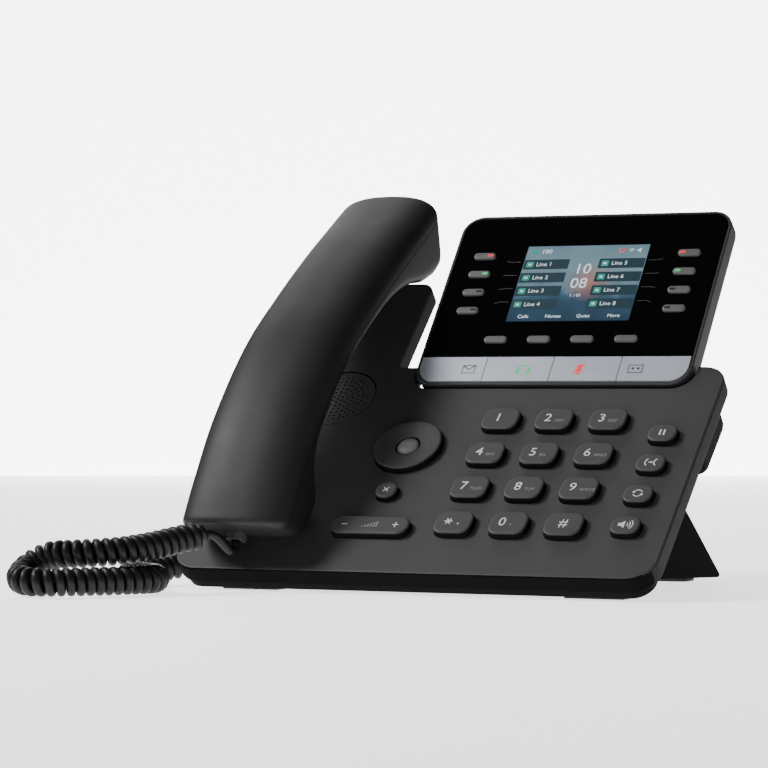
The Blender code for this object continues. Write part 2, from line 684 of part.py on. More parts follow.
def shell_mesh(rings):
    """A shell through the rings with flat ends, open along the line between their tips."""
    shape = bmesh.new()
    rows = [[shape.verts.new(point) for point in ring] for ring in rings]
    for lower, upper in zip(rows, rows[1:]):
        for i in range(len(lower) - 1):
            shape.faces.new((lower[i], lower[i + 1], upper[i + 1], upper[i]))
    middles = []
    for row in (rows[0], rows[-1]):
        middle = shape.verts.new((row[0].co + row[-1].co) / 2)
        for a, b in zip(row, row[1:]):
            shape.faces.new((a, b, middle))
        middles.append(middle)
    rim = [middles[0], *(row[0] for row in rows), middles[1]]
    lid = shape.faces.new(rim + [row[-1] for row in reversed(rows)])
    bmesh.ops.recalc_face_normals(shape, faces=shape.faces)
    shape.faces.remove(lid)
    mesh = bpy.data.meshes.new("shell")
    shape.to_mesh(mesh)
    shape.free()
    return mesh


def make_handset():
    stations = handset_stations()
    for name, section in (("handset_back_shell", back_section),
                          ("handset_face_shell", face_section)):
        mesh = shell_mesh([handset_ring(station, section(station)) for station in stations])
        shell = place(name, mesh, slab, material=satin_black)
        solid = shell.modifiers.new("skin", "SOLIDIFY")
        solid.thickness = HANDSET_SKIN
        solid.offset = -1
        solid.use_even_offset = True
    combine(shell, plug_mesh(0.0004, 0.0092, PLUG_OUT + 0.002), "DIFFERENCE")
    for name, (station, depth, radius, thickness), material in (
        ("earpiece_driver", EARPIECE, steel), ("microphone", MICROPHONE, steel)
    ):
        edge, down = handset_axes(station)
        disc = turned([(0, thickness / 2), (radius, thickness / 2), (radius, -thickness / 2),
                       (0, -thickness / 2)], 20)
        disc.transform(down.to_track_quat("-Z", "Y").to_matrix().to_4x4())
        place(name, disc, slab, edge + down * depth + Vector((HANDSET_MIDDLE, 0, 0)), material)
    place("plug_handset", plug_mesh(0.0, 0.0088, PLUG_OUT), slab, material=clear_plastic)


def plug_mesh(extra, inside, outside):
    """The handset's plug, or the bore for it, through the end cap at the mouth end."""
    edge, down = handset_axes(HANDSET_ENDS[0])
    outward = Vector((0, down.z, -down.y))
    centre = edge + down * HANDSET_JACK[1] + outward * (outside - inside) / 2
    mesh = box((PLUG_SIZE[0] + 2 * extra, inside + outside, PLUG_SIZE[1] + 2 * extra), (0, 0, 0))
    across = Vector((1, 0, 0))
    turn = Matrix((across, outward, across.cross(outward))).transposed().to_4x4()
    mesh.transform(Matrix.Translation((HANDSET_JACK[0], centre.y, centre.z)) @ turn)
    return mesh


# ---------------------------------------------------------------- stand, feet and cord

def side_prism(outline, low, high):
    """A plate across X from an outline of (Y, Z) pairs."""
    mesh = prism([outline], low, high)
    mesh.transform(Matrix(((0, 0, 1, 0), (1, 0, 0, 0), (0, 1, 0, 0), (0, 0, 0, 1))))
    return mesh


def make_stand_and_feet():
    side = STAND_HALF_WIDTH
    heel, *others = STAND_SIDE
    outline = rounded([(*heel, 0.0012)] + [(*corner, 0) for corner in others])
    stand = place("foot_stand", side_prism(outline, -side, side), desk, material=black_plastic)
    inner = side - STAND_WALL
    hollow = side_prism([Vector(corner) for corner in STAND_HOLLOW], -inner, inner)
    combine(stand, hollow, "DIFFERENCE")
    low, high = (Vector((0, *corner)) for corner in STAND_SIDE[:2])
    lean = math.atan2(high.z - low.z, low.y - high.y)
    window = box((CABLE_WINDOW[0], CABLE_WINDOW[1], 0.02), (0, 0, 0))
    window.transform(Matrix.Translation((low + high) / 2) @ Matrix.Rotation(-lean, 4, "X"))
    combine(stand, window, "DIFFERENCE")
    width, length, thickness, y = PAD
    place("stand_pad", box((width, length, thickness), (0, 0, thickness / 2)), desk, (0, y, 0),
          rubber)
    for name, x in (("front_foot_left", -FOOT_X), ("front_foot_right", FOOT_X)):
        foot = side_prism([Vector(corner) for corner in FOOT_SIDE], -FOOT_WIDTH / 2,
                          FOOT_WIDTH / 2)
        place(name, foot, desk, (x, 0, 0), rubber)


def make_cord():
    coil = smooth_route(COIL_ROUTE, 0.006, GAP)
    tube("cord_coil", coil, COIL_DIAMETER, rubber)
    tube("cord_lead_handset", smooth_route(HANDSET_LEAD_ROUTE, 0.004, GAP), LEAD_DIAMETER, rubber)
    tube("cord_lead_base", smooth_route(BASE_LEAD_ROUTE, 0.006, GAP), LEAD_DIAMETER, rubber)
    low = (BASE_JACK[0] - PLUG_SIZE[0] / 2, 0.0875, SOCKET_HEIGHT - PLUG_SIZE[1] / 2)
    high = (BASE_JACK[0] + PLUG_SIZE[0] / 2, 0.1040, SOCKET_HEIGHT + PLUG_SIZE[1] / 2)
    place("plug_base", box_between(low, high), slab, material=clear_plastic)


clear_scene()
telephone = make_collection("desk_telephone")
cutters = make_collection("cutters")
charcoal = make_material("charcoal", (0.062, 0.062, 0.064), 0.5)
dark_plastic = make_material("dark_plastic", (0.020, 0.020, 0.021), 0.55)
black_plastic = make_material("black_plastic", (0.012, 0.012, 0.013), 0.5)
satin_black = make_material("satin_black", (0.040, 0.040, 0.042), 0.42)
gloss_black = make_material("gloss_black", (0.004, 0.004, 0.005), 0.08)
key_grey = make_material("key_grey", (0.16, 0.16, 0.165), 0.45)
silver = make_material("silver", (0.42, 0.46, 0.50), 0.35, 0.6)
screen_blue = make_material("screen_blue", (0.10, 0.25, 0.32), 0.2)
rubber = make_material("rubber", (0.018, 0.018, 0.019), 0.7)
steel = make_material("steel", (0.55, 0.55, 0.56), 0.3, 1.0)
board_green = make_material("board_green", (0.02, 0.12, 0.05), 0.5)
clear_plastic = make_material("clear_plastic", (0.75, 0.77, 0.78), 0.1)
desk = make_frame("desk", DESK_SHIFT, 0)
slab = make_frame("slab", SLAB_FRONT, SLOPE, desk)
display = make_frame("display_hinge", (DISPLAY_FOOT[0], *hinge_in_slab()), DISPLAY_LEAN, slab)
make_top_cover()
make_bottom_cover()
make_inner_pieces()
make_body_keys()
make_display()
make_handset()
make_stand_and_feet()
make_cord()
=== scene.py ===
"""The looks of a desk telephone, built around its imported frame. Lengths are in metres."""
import json
import math

import bmesh
import bpy
from mathutils import Matrix, Vector
from mathutils.geometry import interpolate_bezier


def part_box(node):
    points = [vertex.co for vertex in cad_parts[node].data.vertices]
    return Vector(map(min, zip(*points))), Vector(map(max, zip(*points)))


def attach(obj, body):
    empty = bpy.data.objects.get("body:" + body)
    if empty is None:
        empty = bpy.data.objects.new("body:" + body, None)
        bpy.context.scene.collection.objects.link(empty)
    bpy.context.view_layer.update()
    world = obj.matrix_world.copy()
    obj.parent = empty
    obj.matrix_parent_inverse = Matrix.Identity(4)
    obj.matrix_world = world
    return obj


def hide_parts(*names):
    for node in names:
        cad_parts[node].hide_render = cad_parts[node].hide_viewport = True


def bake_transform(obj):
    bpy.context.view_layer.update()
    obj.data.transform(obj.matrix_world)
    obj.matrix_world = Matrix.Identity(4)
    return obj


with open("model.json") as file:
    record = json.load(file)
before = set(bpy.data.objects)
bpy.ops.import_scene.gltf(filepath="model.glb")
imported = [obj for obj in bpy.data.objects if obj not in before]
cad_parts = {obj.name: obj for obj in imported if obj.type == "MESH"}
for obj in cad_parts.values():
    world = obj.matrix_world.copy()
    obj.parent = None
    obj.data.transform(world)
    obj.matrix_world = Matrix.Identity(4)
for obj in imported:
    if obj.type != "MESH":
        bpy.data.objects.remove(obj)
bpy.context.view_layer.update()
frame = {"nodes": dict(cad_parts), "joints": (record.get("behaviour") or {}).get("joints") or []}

# Body outline, seen square on to its face.
RIGHT_WIDTH = 0.1071
RIGHT_TAPER = 0.0168
LEFT_WIDTH = 0.1115
LEFT_TAPER = 0.0390
BODY_LENGTH = 0.131
ARM_LENGTH = 0.190
ARM_RIGHT = -0.0497
ARM_TAPER = 0.0026
FRONT_CORNER = 0.012
REAR_CORNER = 0.011
ARM_CORNER = 0.006
ARM_FILLET = 0.003
SKIN = 0.0024
SIDE_DEPTH = 0.0083
UNDERSIDE = -0.0122
UNDER_INSET = 0.003
UNDER_FRONT = 0.0012
TROUGH_FRONT = 0.094
TROUGH_REAR = 0.1272
TROUGH_HALF_WIDTH = 0.098
TROUGH_BOTTOM = -0.032
GAP = 0.0003
KEY_HOLE_GAP = 0.00035
EDGE_ANGLES = (0, 20, 40, 60, 80, 90)  # steps around a rounded edge, in degrees
WALL_SHADE_LIMIT = 0.35  # faces whose normal rises less than this get a darker copy of their material: painted shade
FRONT_SHADE_LIMIT = -0.55  # walls that face the front more than this get a near-black copy of the charcoal: painted shade
VENT_ROWS = 7
VENT_SIZE = (0.030, 0.0018, 0.0008)
VENT_PLACE = (0.032, 0.030)  # of the right-hand column's lowest slot
VENT_PITCH = 0.0045
TROUGH_CORNER = 0.004
TROUGH_ROUNDING = ((0.009, 0.0), (0.0055, 0.0006), (0.0028, 0.0018), (0.0010, 0.0032),
                   (0.0, 0.0052))  # how much narrower it is at each height over its bottom
GRILLE_HOLE = 0.00062
GRILLE_PITCH = 0.0023
GRILLE_RINGS = 7
SCREW_PLACES = ((-0.090, 0.020), (0.090, 0.020), (-0.088, 0.084), (0.088, 0.084))
HINGE_BORE = 0.0019

# Sockets.
SOCKET_HEIGHT = -0.022
SOCKET_CLEARANCE = 0.0005
WIDE_SOCKET = (0.0120, 0.0086)
CORD_SOCKET = (0.0078, 0.0066)
CONTACT_PITCH = 0.00102
CONTACT_HALF = 0.0002

# Display.
DISPLAY_CORNER = 0.0095
POCKET_SIDE = 0.001
POCKET_FRONT = 0.1168
POCKET_FLOOR = -0.014
STRIP_TOP = 0.0152
RIM = 0.0013
FASCIA_THICKNESS = 0.002
SCREEN = (0.0571, 0.0582, 0.0438)  # height of its middle, width and height
SCREEN_TOP = -0.0003
ROW_PITCH = 0.0077
FIRST_TILE = 0.0108  # below the screen's top
TILE_SIZE = (0.0216, 0.0056, 0.0002)
TILE_INSET = 0.0112
BADGE_SHIFT = 0.0078
STATUS_ROW = 0.0034
CLOCK_SIZE = 0.0082
SOFT_WORD_SIZE = 0.0027
SOFT_WORD_PITCH = 0.0142
LEADER_START = 0.0012
LEADER_BEND = 0.0042
LEADER_END = 0.0066
LEADER_WIDTH = 0.00026
LENS_SIZE = (0.0028, 0.0013, 0.0006)
LENS_SHIFT = 0.0029
STRIP_ICON_PITCH = 0.0259
STRIP_ICON_SCALE = 1.22
STRIP_INK = 0.00046

# Printing.
PRINT_THICKNESS = 0.00002
INK_LIFT = 0.00003
KEY_INK = 0.00045
DIGIT_SIZE = 0.0068
LETTER_SIZE = 0.0024
PLUS_SIZE = 0.0028
DOT_RADIUS = 0.00042

# Keys: width, height and corner radius.
KEY_TOP = 0.003
KEY_FOOT = -0.0027
ROCKER_FOOT = -0.0033
FLANGE = 0.001
DIAL_SIZE = (0.0168, 0.0134, 0.0046)
SIDE_SIZE = (0.0128, 0.0103, 0.0043)
VOLUME_SIZE = (0.0360, 0.0107, 0.0053)
LINE_SIZE = (0.0105, 0.0036, 0.0017)
SOFT_SIZE = (0.0108, 0.0036, 0.0017)
RING_RADII = (0.0056, 0.0153)
OK_RADIUS = 0.0050
CANCEL_RADIUS = 0.0049
SPEAKER_RADIUS = 0.0175
HOOK_SIZE = (0.006, 0.010, 0.002)
HOOK_ROUNDING = ((0.0012, 0), (0.0006, 0.0002), (0.0002, 0.0006), (0, 0.0012))
HOOK_STEM = 0.006
DIAL = {
    "1": ("1", ""), "2": ("2", "ABC"), "3": ("3", "DEF"), "4": ("4", "GHI"), "5": ("5", "JKL"),
    "6": ("6", "MNO"), "7": ("7", "PQRS"), "8": ("8", "TUV"), "9": ("9", "WXYZ"),
    "star": ("", ""), "0": ("0", "+"), "hash": ("#", ""),
}

# Handset.
HANDSET_HALF_WIDTH = 0.0245
HANDSET_ENDS = (0.008, 0.2185)
HANDSET_CROWN = (
    (0.008, 0.0052), (0.060, 0.0076), (0.110, 0.0084), (0.170, 0.0082), (0.2185, 0.0072),
)
HANDSET_PARTING = 0.0045
HANDSET_EDGE = (
    (0.008, 0.0170), (0.028, 0.0235), (0.058, 0.0312), (0.100, 0.0355),
    (0.135, 0.0330), (0.171, 0.0285), (0.201, 0.0235), (0.2185, 0.0205),
)
HANDSET_DEPTH = (
    (0.008, 0.0150), (0.012, 0.0190), (0.020, 0.0224), (0.028, 0.0249), (0.033, 0.0225),
    (0.038, 0.0180), (0.046, 0.0145), (0.060, 0.0130), (0.110, 0.0125), (0.150, 0.0130),
    (0.168, 0.0145), (0.178, 0.0165), (0.187, 0.0195), (0.194, 0.0228), (0.201, 0.0246),
    (0.209, 0.0263), (0.2185, 0.0255),
)
HANDSET_FAN = math.radians(29)
HANDSET_SIDE_RADIUS = 0.0035  # rounding of the ends, seen from the back
HANDSET_END_RADIUS = 0.002  # rounding of the ends, seen from the side
HANDSET_WALL = 0.0014
HANDSET_SKIN = 0.0016
EARPIECE_HOLES = (0.2070, 0.0006, 4, 0.0024)  # station, radius, rings and pitch
MICROPHONE_HOLES = (0.0250, 0.0005, 2, 0.0022)

# Stand: outlines seen from the side, as (y, z).
STAND_SIDE = ((0.0802, 0.0014), (0.0399, 0.0290), (0.0108, 0.0479), (-0.0001, 0.0600),
              (-0.0345, 0.0304), (-0.0131, 0.0050))
STAND_HOLLOW = ((0.0580, -0.0020), (0.0580, 0.0048), (0.0682, 0.0048), (0.0382, 0.0264),
                (0.0160, 0.0409), (0.0260, 0.0560), (-0.0080, 0.0750), (-0.0600, 0.0400),
                (-0.0600, -0.0020))
STAND_RIB = ((0.0655, 0.0056), (0.0395, 0.0247), (0.0180, 0.0388), (0.0150, 0.0345),
             (0.0560, 0.0056))
STAND_WALL = 0.003
RIB_PLACES = (("left", -0.05), ("right", 0.05))
RIB_THICKNESS = 0.0016
FOOT_SIDE = ((-0.0672, 0.0), (-0.0581, 0.0), (-0.0581, 0.0106), (-0.0672, 0.0027))

# Camera and lights. A light is a name, a place, a target, a size and a power.
CAMERA_LENS = 154.7
CAMERA_SHIFT = 0.0096
CAMERA_PLACE = (0.5718, -1.2983, 0.0836)
CAMERA_TURN = math.radians(25.33)
FLOOR_GLOW = 1.7
BACKDROP_PLACE = (-0.798, 1.69, 0.4498)
BACKDROP_GLOW = 6.0
WORLD_GLOW = 0.08
LIGHTS = (
    ("top_light", (-0.85, 0.95, 1.20), (-0.05, 0, 0.10), 0.8, 6),
    ("left_light", (-1.00, -0.42, 1.05), (-0.05, 0, 0.08), 0.45, 22),
)

# Cord.
DESK_SHIFT = Vector((0.00206, 0.00495, 0))  # added to the cord's routes, the stand and the feet
COIL_DIAMETER = 0.0122
WIRE_DIAMETER = 0.0038
TURN_PITCH = 0.0040
STRETCHING_RUN = 0.105  # how much of the coil's axis the follow-the-handset weights fade over
COIL_ROUTE = (
    (-0.0860, -0.0915, 0.0238), (-0.0927, -0.1007, 0.0223), (-0.0993, -0.1130, 0.0200),
    (-0.1060, -0.1250, 0.0184), (-0.1155, -0.1330, 0.0175), (-0.1260, -0.1360, 0.0170),
    (-0.1350, -0.1360, 0.0160), (-0.1420, -0.1390, 0.0120), (-0.1410, -0.1485, 0.0078),
    (-0.1340, -0.1550, 0.0065), (-0.1250, -0.1540, 0.0063), (-0.1160, -0.1470, 0.0063),
    (-0.1085, -0.1385, 0.0063), (-0.1015, -0.1290, 0.0063), (-0.0975, -0.1180, 0.0063),
    (-0.1010, -0.1075, 0.0063), (-0.1085, -0.1005, 0.0063), (-0.1165, -0.0945, 0.0063),
    (-0.1240, -0.0870, 0.0063), (-0.1285, -0.0770, 0.0063), (-0.1290, -0.0665, 0.0065),
    (-0.1250, -0.0565, 0.0075), (-0.1175, -0.0490, 0.0098), (-0.1090, -0.0435, 0.0120),
)
HANDSET_LEAD_ROUTE = (
    (-0.0800, -0.0762, 0.0203), (-0.0800, -0.0773, 0.0176), (-0.0803, -0.0799, 0.0166),
    (-0.0812, -0.0832, 0.0188), (-0.0827, -0.0864, 0.0220), (-0.0843, -0.0891, 0.0238),
    (-0.0860, -0.0915, 0.0238),
)
BASE_LEAD_ROUTE = (
    (-0.0597, 0.0015, 0.0493), (-0.0597, -0.0030, 0.0452), (-0.0598, -0.0085, 0.0370),
    (-0.0600, -0.0130, 0.0270), (-0.0608, -0.0175, 0.0160), (-0.0630, -0.0225, 0.0075),
    (-0.0675, -0.0275, 0.0032), (-0.0740, -0.0310, 0.0024), (-0.0810, -0.0335, 0.0030),
    (-0.0895, -0.0353, 0.0055), (-0.0965, -0.0376, 0.0098), (-0.1030, -0.0402, 0.0123),
    (-0.1086, -0.0432, 0.0121),
)


# ---------------------------------------------------------------- frames read from the model

ACROSS = Vector((1, 0, 0))


def joint(name):
    return next(j for j in frame["joints"] if j["name"] == name)


def axes(x, y, z):
    """The turn that carries the world's axes to these three."""
    return Matrix((x, y, z)).transposed().to_4x4()


def tilted_frame(normal, middle, low_node, top_node):
    """A frame with Z along a face's normal, Y up its slope, and its origin at the lower edge."""
    out = Vector(normal).normalized()
    up = Vector((0, out.z, -out.y))
    low = min(v.co.dot(up) for v in frame["nodes"][low_node].data.vertices)
    top = max(v.co.dot(out) for v in frame["nodes"][top_node].data.vertices)
    return (Matrix.Translation(Vector((middle, 0, 0)) + up * low + out * top)
            @ axes(ACROSS, up, out))


def extent(node, place_in):
    """The lowest and highest corners of a CAD node in a frame."""
    back = place_in.inverted()
    points = [back @ v.co for v in frame["nodes"][node].data.vertices]
    return (Vector([min(p[i] for p in points) for i in range(3)]),
            Vector([max(p[i] for p in points) for i in range(3)]))


def middle_of(node, place_in):
    low, high = extent(node, place_in)
    return (low + high) / 2


WORLD = Matrix.Identity(4)
SLAB = tilted_frame(joint("handset_lift")["axis"], DESK_SHIFT.x, "top_cover", "top_cover")
display_low, display_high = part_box("display_rear_cover")
display_normal = -Vector(joint("soft_key_1_press")["axis"])
DISPLAY = tilted_frame(display_normal, (display_low.x + display_high.x) / 2,
                       "display_rear_cover", "display_fascia")
display_low, display_high = extent("display_rear_cover", DISPLAY)
DISPLAY_WIDTH = display_high.x - display_low.x
DISPLAY_HEIGHT = display_high.y
DISPLAY_THICKNESS = -display_low.z
slab_display_low, slab_display_high = extent("display_rear_cover", SLAB)
DISPLAY_MIDDLE = (slab_display_low.x + slab_display_high.x) / 2
HANDSET_MIDDLE = middle_of("handset_back_shell", SLAB).x


# ---------------------------------------------------------------- materials

def set_inputs(node, **values):
    """Sets a node's inputs. A name's words are joined by underscores."""
    for name, value in values.items():
        node.inputs[name.replace("_", " ")].default_value = value


def node_tree(name):
    material = bpy.data.materials.new(name)
    material.use_nodes = True
    tree = material.node_tree
    return material, tree, tree.nodes["Principled BSDF"]


def noise(tree, scale, detail=2.0, roughness=0.5):
    coordinates = tree.nodes.new("ShaderNodeTexCoord")
    texture = tree.nodes.new("ShaderNodeTexNoise")
    set_inputs(texture, Scale=scale, Detail=detail, Roughness=roughness)
    tree.links.new(coordinates.outputs["Object"], texture.inputs["Vector"])
    return texture.outputs["Fac"]


def ranged(tree, value, low, high, start=0.3, end=0.7):
    node = tree.nodes.new("ShaderNodeMapRange")
    set_inputs(node, From_Min=start, From_Max=end, To_Min=low, To_Max=high)
    tree.links.new(value, node.inputs["Value"])
    return node.outputs["Result"]


def blended(tree, value, first, second):
    node = tree.nodes.new("ShaderNodeMix")
    node.data_type = "RGBA"
    node.inputs["A"].default_value = (*first, 1)
    node.inputs["B"].default_value = (*second, 1)
    tree.links.new(value, node.inputs["Factor"])
    return node.outputs["Result"]


def plastic(name, colour, roughness, grain=0.00045, depth=0.000012, variation=0.07, coat=0.0,
            metallic=0.0, specular=0.5):
    """Moulded plastic: spark-eroded grain, faint flow marks, and handling gloss in patches."""
    material, tree, shader = node_tree(name)
    lighter = tuple(c * (1 + variation) for c in colour)
    darker = tuple(c * (1 - variation) for c in colour)
    tint = ranged(tree, noise(tree, 45, 4), 0, 1)
    tree.links.new(blended(tree, tint, darker, lighter), shader.inputs["Base Color"])
    patches = ranged(tree, noise(tree, 110, 3), roughness - 0.015, roughness + 0.015)
    tree.links.new(patches, shader.inputs["Roughness"])
    bump = tree.nodes.new("ShaderNodeBump")
    set_inputs(bump, Distance=depth, Strength=0.7)
    tree.links.new(noise(tree, 1 / grain, 3, 0.6), bump.inputs["Height"])
    tree.links.new(bump.outputs["Normal"], shader.inputs["Normal"])
    set_inputs(shader, Metallic=metallic, Coat_Weight=coat, Coat_Roughness=0.08,
               Specular_IOR_Level=specular)
    return material


def glow(name, colour, strength):
    """A lit lens or a lit stretch of the screen, a little uneven."""
    material, tree, shader = node_tree(name)
    tint = ranged(tree, noise(tree, 400, 2), 0, 1)
    dim = tuple(c * 0.85 for c in colour)
    output = blended(tree, tint, dim, colour)
    tree.links.new(output, shader.inputs["Emission Color"])
    tree.links.new(output, shader.inputs["Base Color"])
    set_inputs(shader, Emission_Strength=strength, Roughness=0.3)
    return material


def wallpaper():
    """The screen's picture: a pale sky over dusky hills, with a warm glow on the horizon."""
    material, tree, shader = node_tree("screen_picture")
    coordinates = tree.nodes.new("ShaderNodeTexCoord")
    split = tree.nodes.new("ShaderNodeSeparateXYZ")
    tree.links.new(coordinates.outputs["Object"], split.inputs["Vector"])
    height = ranged(tree, split.outputs["Y"], 0, 1, SCREEN[0] - SCREEN[2] / 2,
                    SCREEN[0] + SCREEN[2] / 2)
    ridge = ranged(tree, noise(tree, 70, 3), -0.16, 0.16)
    total = tree.nodes.new("ShaderNodeMath")
    total.operation = "ADD"
    tree.links.new(height, total.inputs[0])
    tree.links.new(ridge, total.inputs[1])
    ramp = tree.nodes.new("ShaderNodeValToRGB")
    stops = ((0.0, (0.010, 0.030, 0.055)), (0.26, (0.018, 0.055, 0.095)),
             (0.38, (0.035, 0.085, 0.14)), (0.48, (0.12, 0.19, 0.25)),
             (0.70, (0.19, 0.28, 0.32)), (1.0, (0.13, 0.23, 0.28)))
    while len(ramp.color_ramp.elements) < len(stops):
        ramp.color_ramp.elements.new(0.5)
    for element, (position, colour) in zip(ramp.color_ramp.elements, stops):
        element.position = position
        element.color = (*colour, 1)
    tree.links.new(total.outputs["Value"], ramp.inputs["Fac"])
    offset = tree.nodes.new("ShaderNodeVectorMath")
    offset.operation = "DISTANCE"
    offset.inputs[1].default_value = (0.0055, SCREEN[0] + 0.0005, 0)
    tree.links.new(coordinates.outputs["Object"], offset.inputs[0])
    glow_share = ranged(tree, offset.outputs["Value"], 0.75, 0, 0, 0.0115)
    warm = tree.nodes.new("ShaderNodeMix")
    warm.data_type = "RGBA"
    warm.inputs["B"].default_value = (0.50, 0.20, 0.09, 1)
    tree.links.new(ramp.outputs["Color"], warm.inputs["A"])
    tree.links.new(glow_share, warm.inputs["Factor"])
    tree.links.new(warm.outputs["Result"], shader.inputs["Emission Color"])
    set_inputs(shader, Base_Color=(0.02, 0.03, 0.04, 1), Emission_Strength=1.0,
               Specular_IOR_Level=0.3, Roughness=0.12)
    return material


CHARCOAL = plastic("charcoal_plastic", (0.044, 0.044, 0.045), 0.50, specular=0.3)
# A darker copy of the charcoal for the body's side walls: painted shade.
WALL_SHADE_CHARCOAL = plastic("charcoal_wall_shade", (0.010, 0.010, 0.0105), 0.55, specular=0.12)
KEY_CHARCOAL = plastic("charcoal_key", (0.052, 0.052, 0.053), 0.50, grain=0.0003, specular=0.3)
# A near-black copy of the key charcoal for the keys' walls: painted shade.
KEY_SIDE_SHADE = plastic("key_side", (0.004, 0.004, 0.0045), 0.55, specular=0.15)
DARK = plastic("dark_cover", (0.0035, 0.0035, 0.0037), 0.6, specular=0.05)
BLACK = plastic("black_plastic", (0.0018, 0.0018, 0.002), 0.7, specular=0.02)
# A near-black copy of the charcoal for the front wall: painted shade.
FRONT_SHADE_CHARCOAL = plastic("charcoal_front_shade", (0.003, 0.003, 0.0031), 0.7, specular=0.03)
SATIN = plastic("handset_satin", (0.017, 0.017, 0.0175), 0.50, grain=0.0003, depth=0.000008,
                specular=0.2)
# Near-black for holes and for the plate behind the grille: painted shade.
HOLE_SHADE = plastic("hole_shade", (0.004, 0.004, 0.004), 0.6)
GLOSS = plastic("glossy_black", (0.0015, 0.0015, 0.0018), 0.10, depth=0.000001, specular=0.12)
GREY = plastic("display_grey", (0.030, 0.030, 0.031), 0.46, specular=0.3)
OK_GREY = plastic("ok_grey", (0.16, 0.16, 0.163), 0.42, grain=0.00025, specular=0.4)
PILL_GREY = plastic("pill_grey", (0.095, 0.095, 0.094), 0.45, grain=0.0003, specular=0.35)
SILVER = plastic("silver_blue", (0.47, 0.50, 0.56), 0.40, grain=0.00012, depth=0.000004,
                 metallic=0.55, coat=0.2)
WHITE_INK = plastic("white_ink", (0.72, 0.72, 0.73), 0.5, grain=0.0002, depth=0.000002)
DIM_INK = plastic("dim_ink", (0.22, 0.22, 0.225), 0.5, grain=0.0002, depth=0.000002)
DARK_INK = plastic("dark_ink", (0.018, 0.020, 0.028), 0.5, grain=0.0002, depth=0.000002)
LEADER_INK = plastic("leader_ink", (0.035, 0.035, 0.036), 0.4, depth=0.000002)
RUBBER = plastic("rubber", (0.020, 0.020, 0.021), 0.7, depth=0.00002)
JACKET = plastic("cord_jacket", (0.007, 0.007, 0.0075), 0.46, grain=0.0006, depth=0.00001,
                 specular=0.25)
STEEL = plastic("steel", (0.55, 0.55, 0.56), 0.28, metallic=1.0, depth=0.000004)
GOLD = plastic("gold_contact", (0.75, 0.52, 0.20), 0.25, metallic=1.0, depth=0.000002)
BOARD = plastic("circuit_board", (0.015, 0.10, 0.04), 0.4)
RED_LIGHT = glow("red_light", (0.9, 0.02, 0.04), 0.7)
GREEN_LIGHT = glow("green_light", (0.04, 0.50, 0.16), 0.7)
OFF_LIGHT = plastic("unlit_lens", (0.03, 0.03, 0.03), 0.25)
TILE = glow("tile_teal", (0.007, 0.022, 0.031), 1.0)
TILE_ICON = glow("tile_icon", (0.015, 0.19, 0.14), 1.0)
SCREEN_WHITE = glow("screen_white", (0.50, 0.57, 0.62), 1.0)
PICTURE = wallpaper()


def clear_plastic():
    """The clear moulded plastic of the modular plugs, slightly smoky."""
    material, tree, shader = node_tree("clear_plastic")
    tint = ranged(tree, noise(tree, 200, 2), 0, 1)
    output = blended(tree, tint, (0.10, 0.105, 0.11), (0.16, 0.165, 0.17))
    tree.links.new(output, shader.inputs["Base Color"])
    set_inputs(shader, Transmission_Weight=0.6, Roughness=0.12, IOR=1.5)
    return material


CLEAR = clear_plastic()


# ---------------------------------------------------------------- outlines

def rounded(corners, steps=9):
    """The points of a closed outline from its corners (x, y, radius), each corner an arc."""
    points = []
    for i, (x, y, radius) in enumerate(corners):
        corner = Vector((x, y))
        if not radius:
            points.append(corner)
            continue
        before = (Vector(corners[i - 1][:2]) - corner).normalized()
        after = (Vector(corners[(i + 1) % len(corners)][:2]) - corner).normalized()
        half = before.angle(after) / 2
        middle = corner + (before + after).normalized() * radius / math.sin(half)
        first = corner + before * radius / math.tan(half) - middle
        turn = first.angle_signed(corner + after * radius / math.tan(half) - middle)
        for step in range(steps + 1):
            points.append(middle + Matrix.Rotation(-turn * step / steps, 2) @ first)
    return points


def rectangle(width, height, radius, centre=(0, 0), steps=7):
    x, y = centre
    return rounded([
        (x - width / 2, y - height / 2, radius), (x + width / 2, y - height / 2, radius),
        (x + width / 2, y + height / 2, radius), (x - width / 2, y + height / 2, radius),
    ], steps)


def circle(radius, centre=(0, 0), sides=64):
    angles = [2 * math.pi * i / sides for i in range(sides)]
    return [Vector((centre[0] + radius * math.cos(a), centre[1] + radius * math.sin(a)))
            for a in angles]


def grown(size, extra):
    width, height, radius = size
    return width + 2 * extra, height + 2 * extra, max(radius + extra, 0.0001)


def right_side(along, inset=0.0):
    return RIGHT_WIDTH - RIGHT_TAPER * along - inset


def left_side(along, inset=0.0):
    return inset + LEFT_TAPER * along - LEFT_WIDTH


def pocket_sides(wall=0.0):
    half = DISPLAY_WIDTH / 2 + POCKET_SIDE + wall
    return DISPLAY_MIDDLE - half, DISPLAY_MIDDLE + half


def slab_outline(inset, front):
    """The L-shaped slab seen from its face, its sides moved in, with the display's pocket."""
    left, right = pocket_sides(inset)
    floor, high, top = POCKET_FRONT - inset, BODY_LENGTH - inset, ARM_LENGTH - inset
    corner = FRONT_CORNER - inset
    ear = right_side(high, inset) - right
    return rounded([
        (left_side(front, inset), front, corner), (right_side(front, inset), front, corner),
        (right_side(high, inset), high, min(REAR_CORNER - inset, 0.8 * ear)), (right, high, 0),
        (right, floor, DISPLAY_CORNER + inset), (left, floor, DISPLAY_CORNER + inset),
        (left, high, 0), (ARM_RIGHT - inset, high, ARM_FILLET + inset),
        (ARM_RIGHT - ARM_TAPER - inset, top, ARM_CORNER),
        (left_side(top, inset), top, ARM_CORNER),
    ])


# ---------------------------------------------------------------- solids

def finished(shape, name):
    """A mesh from a bmesh, which is used up."""
    mesh = bpy.data.meshes.new(name)
    shape.to_mesh(mesh)
    shape.free()
    return mesh


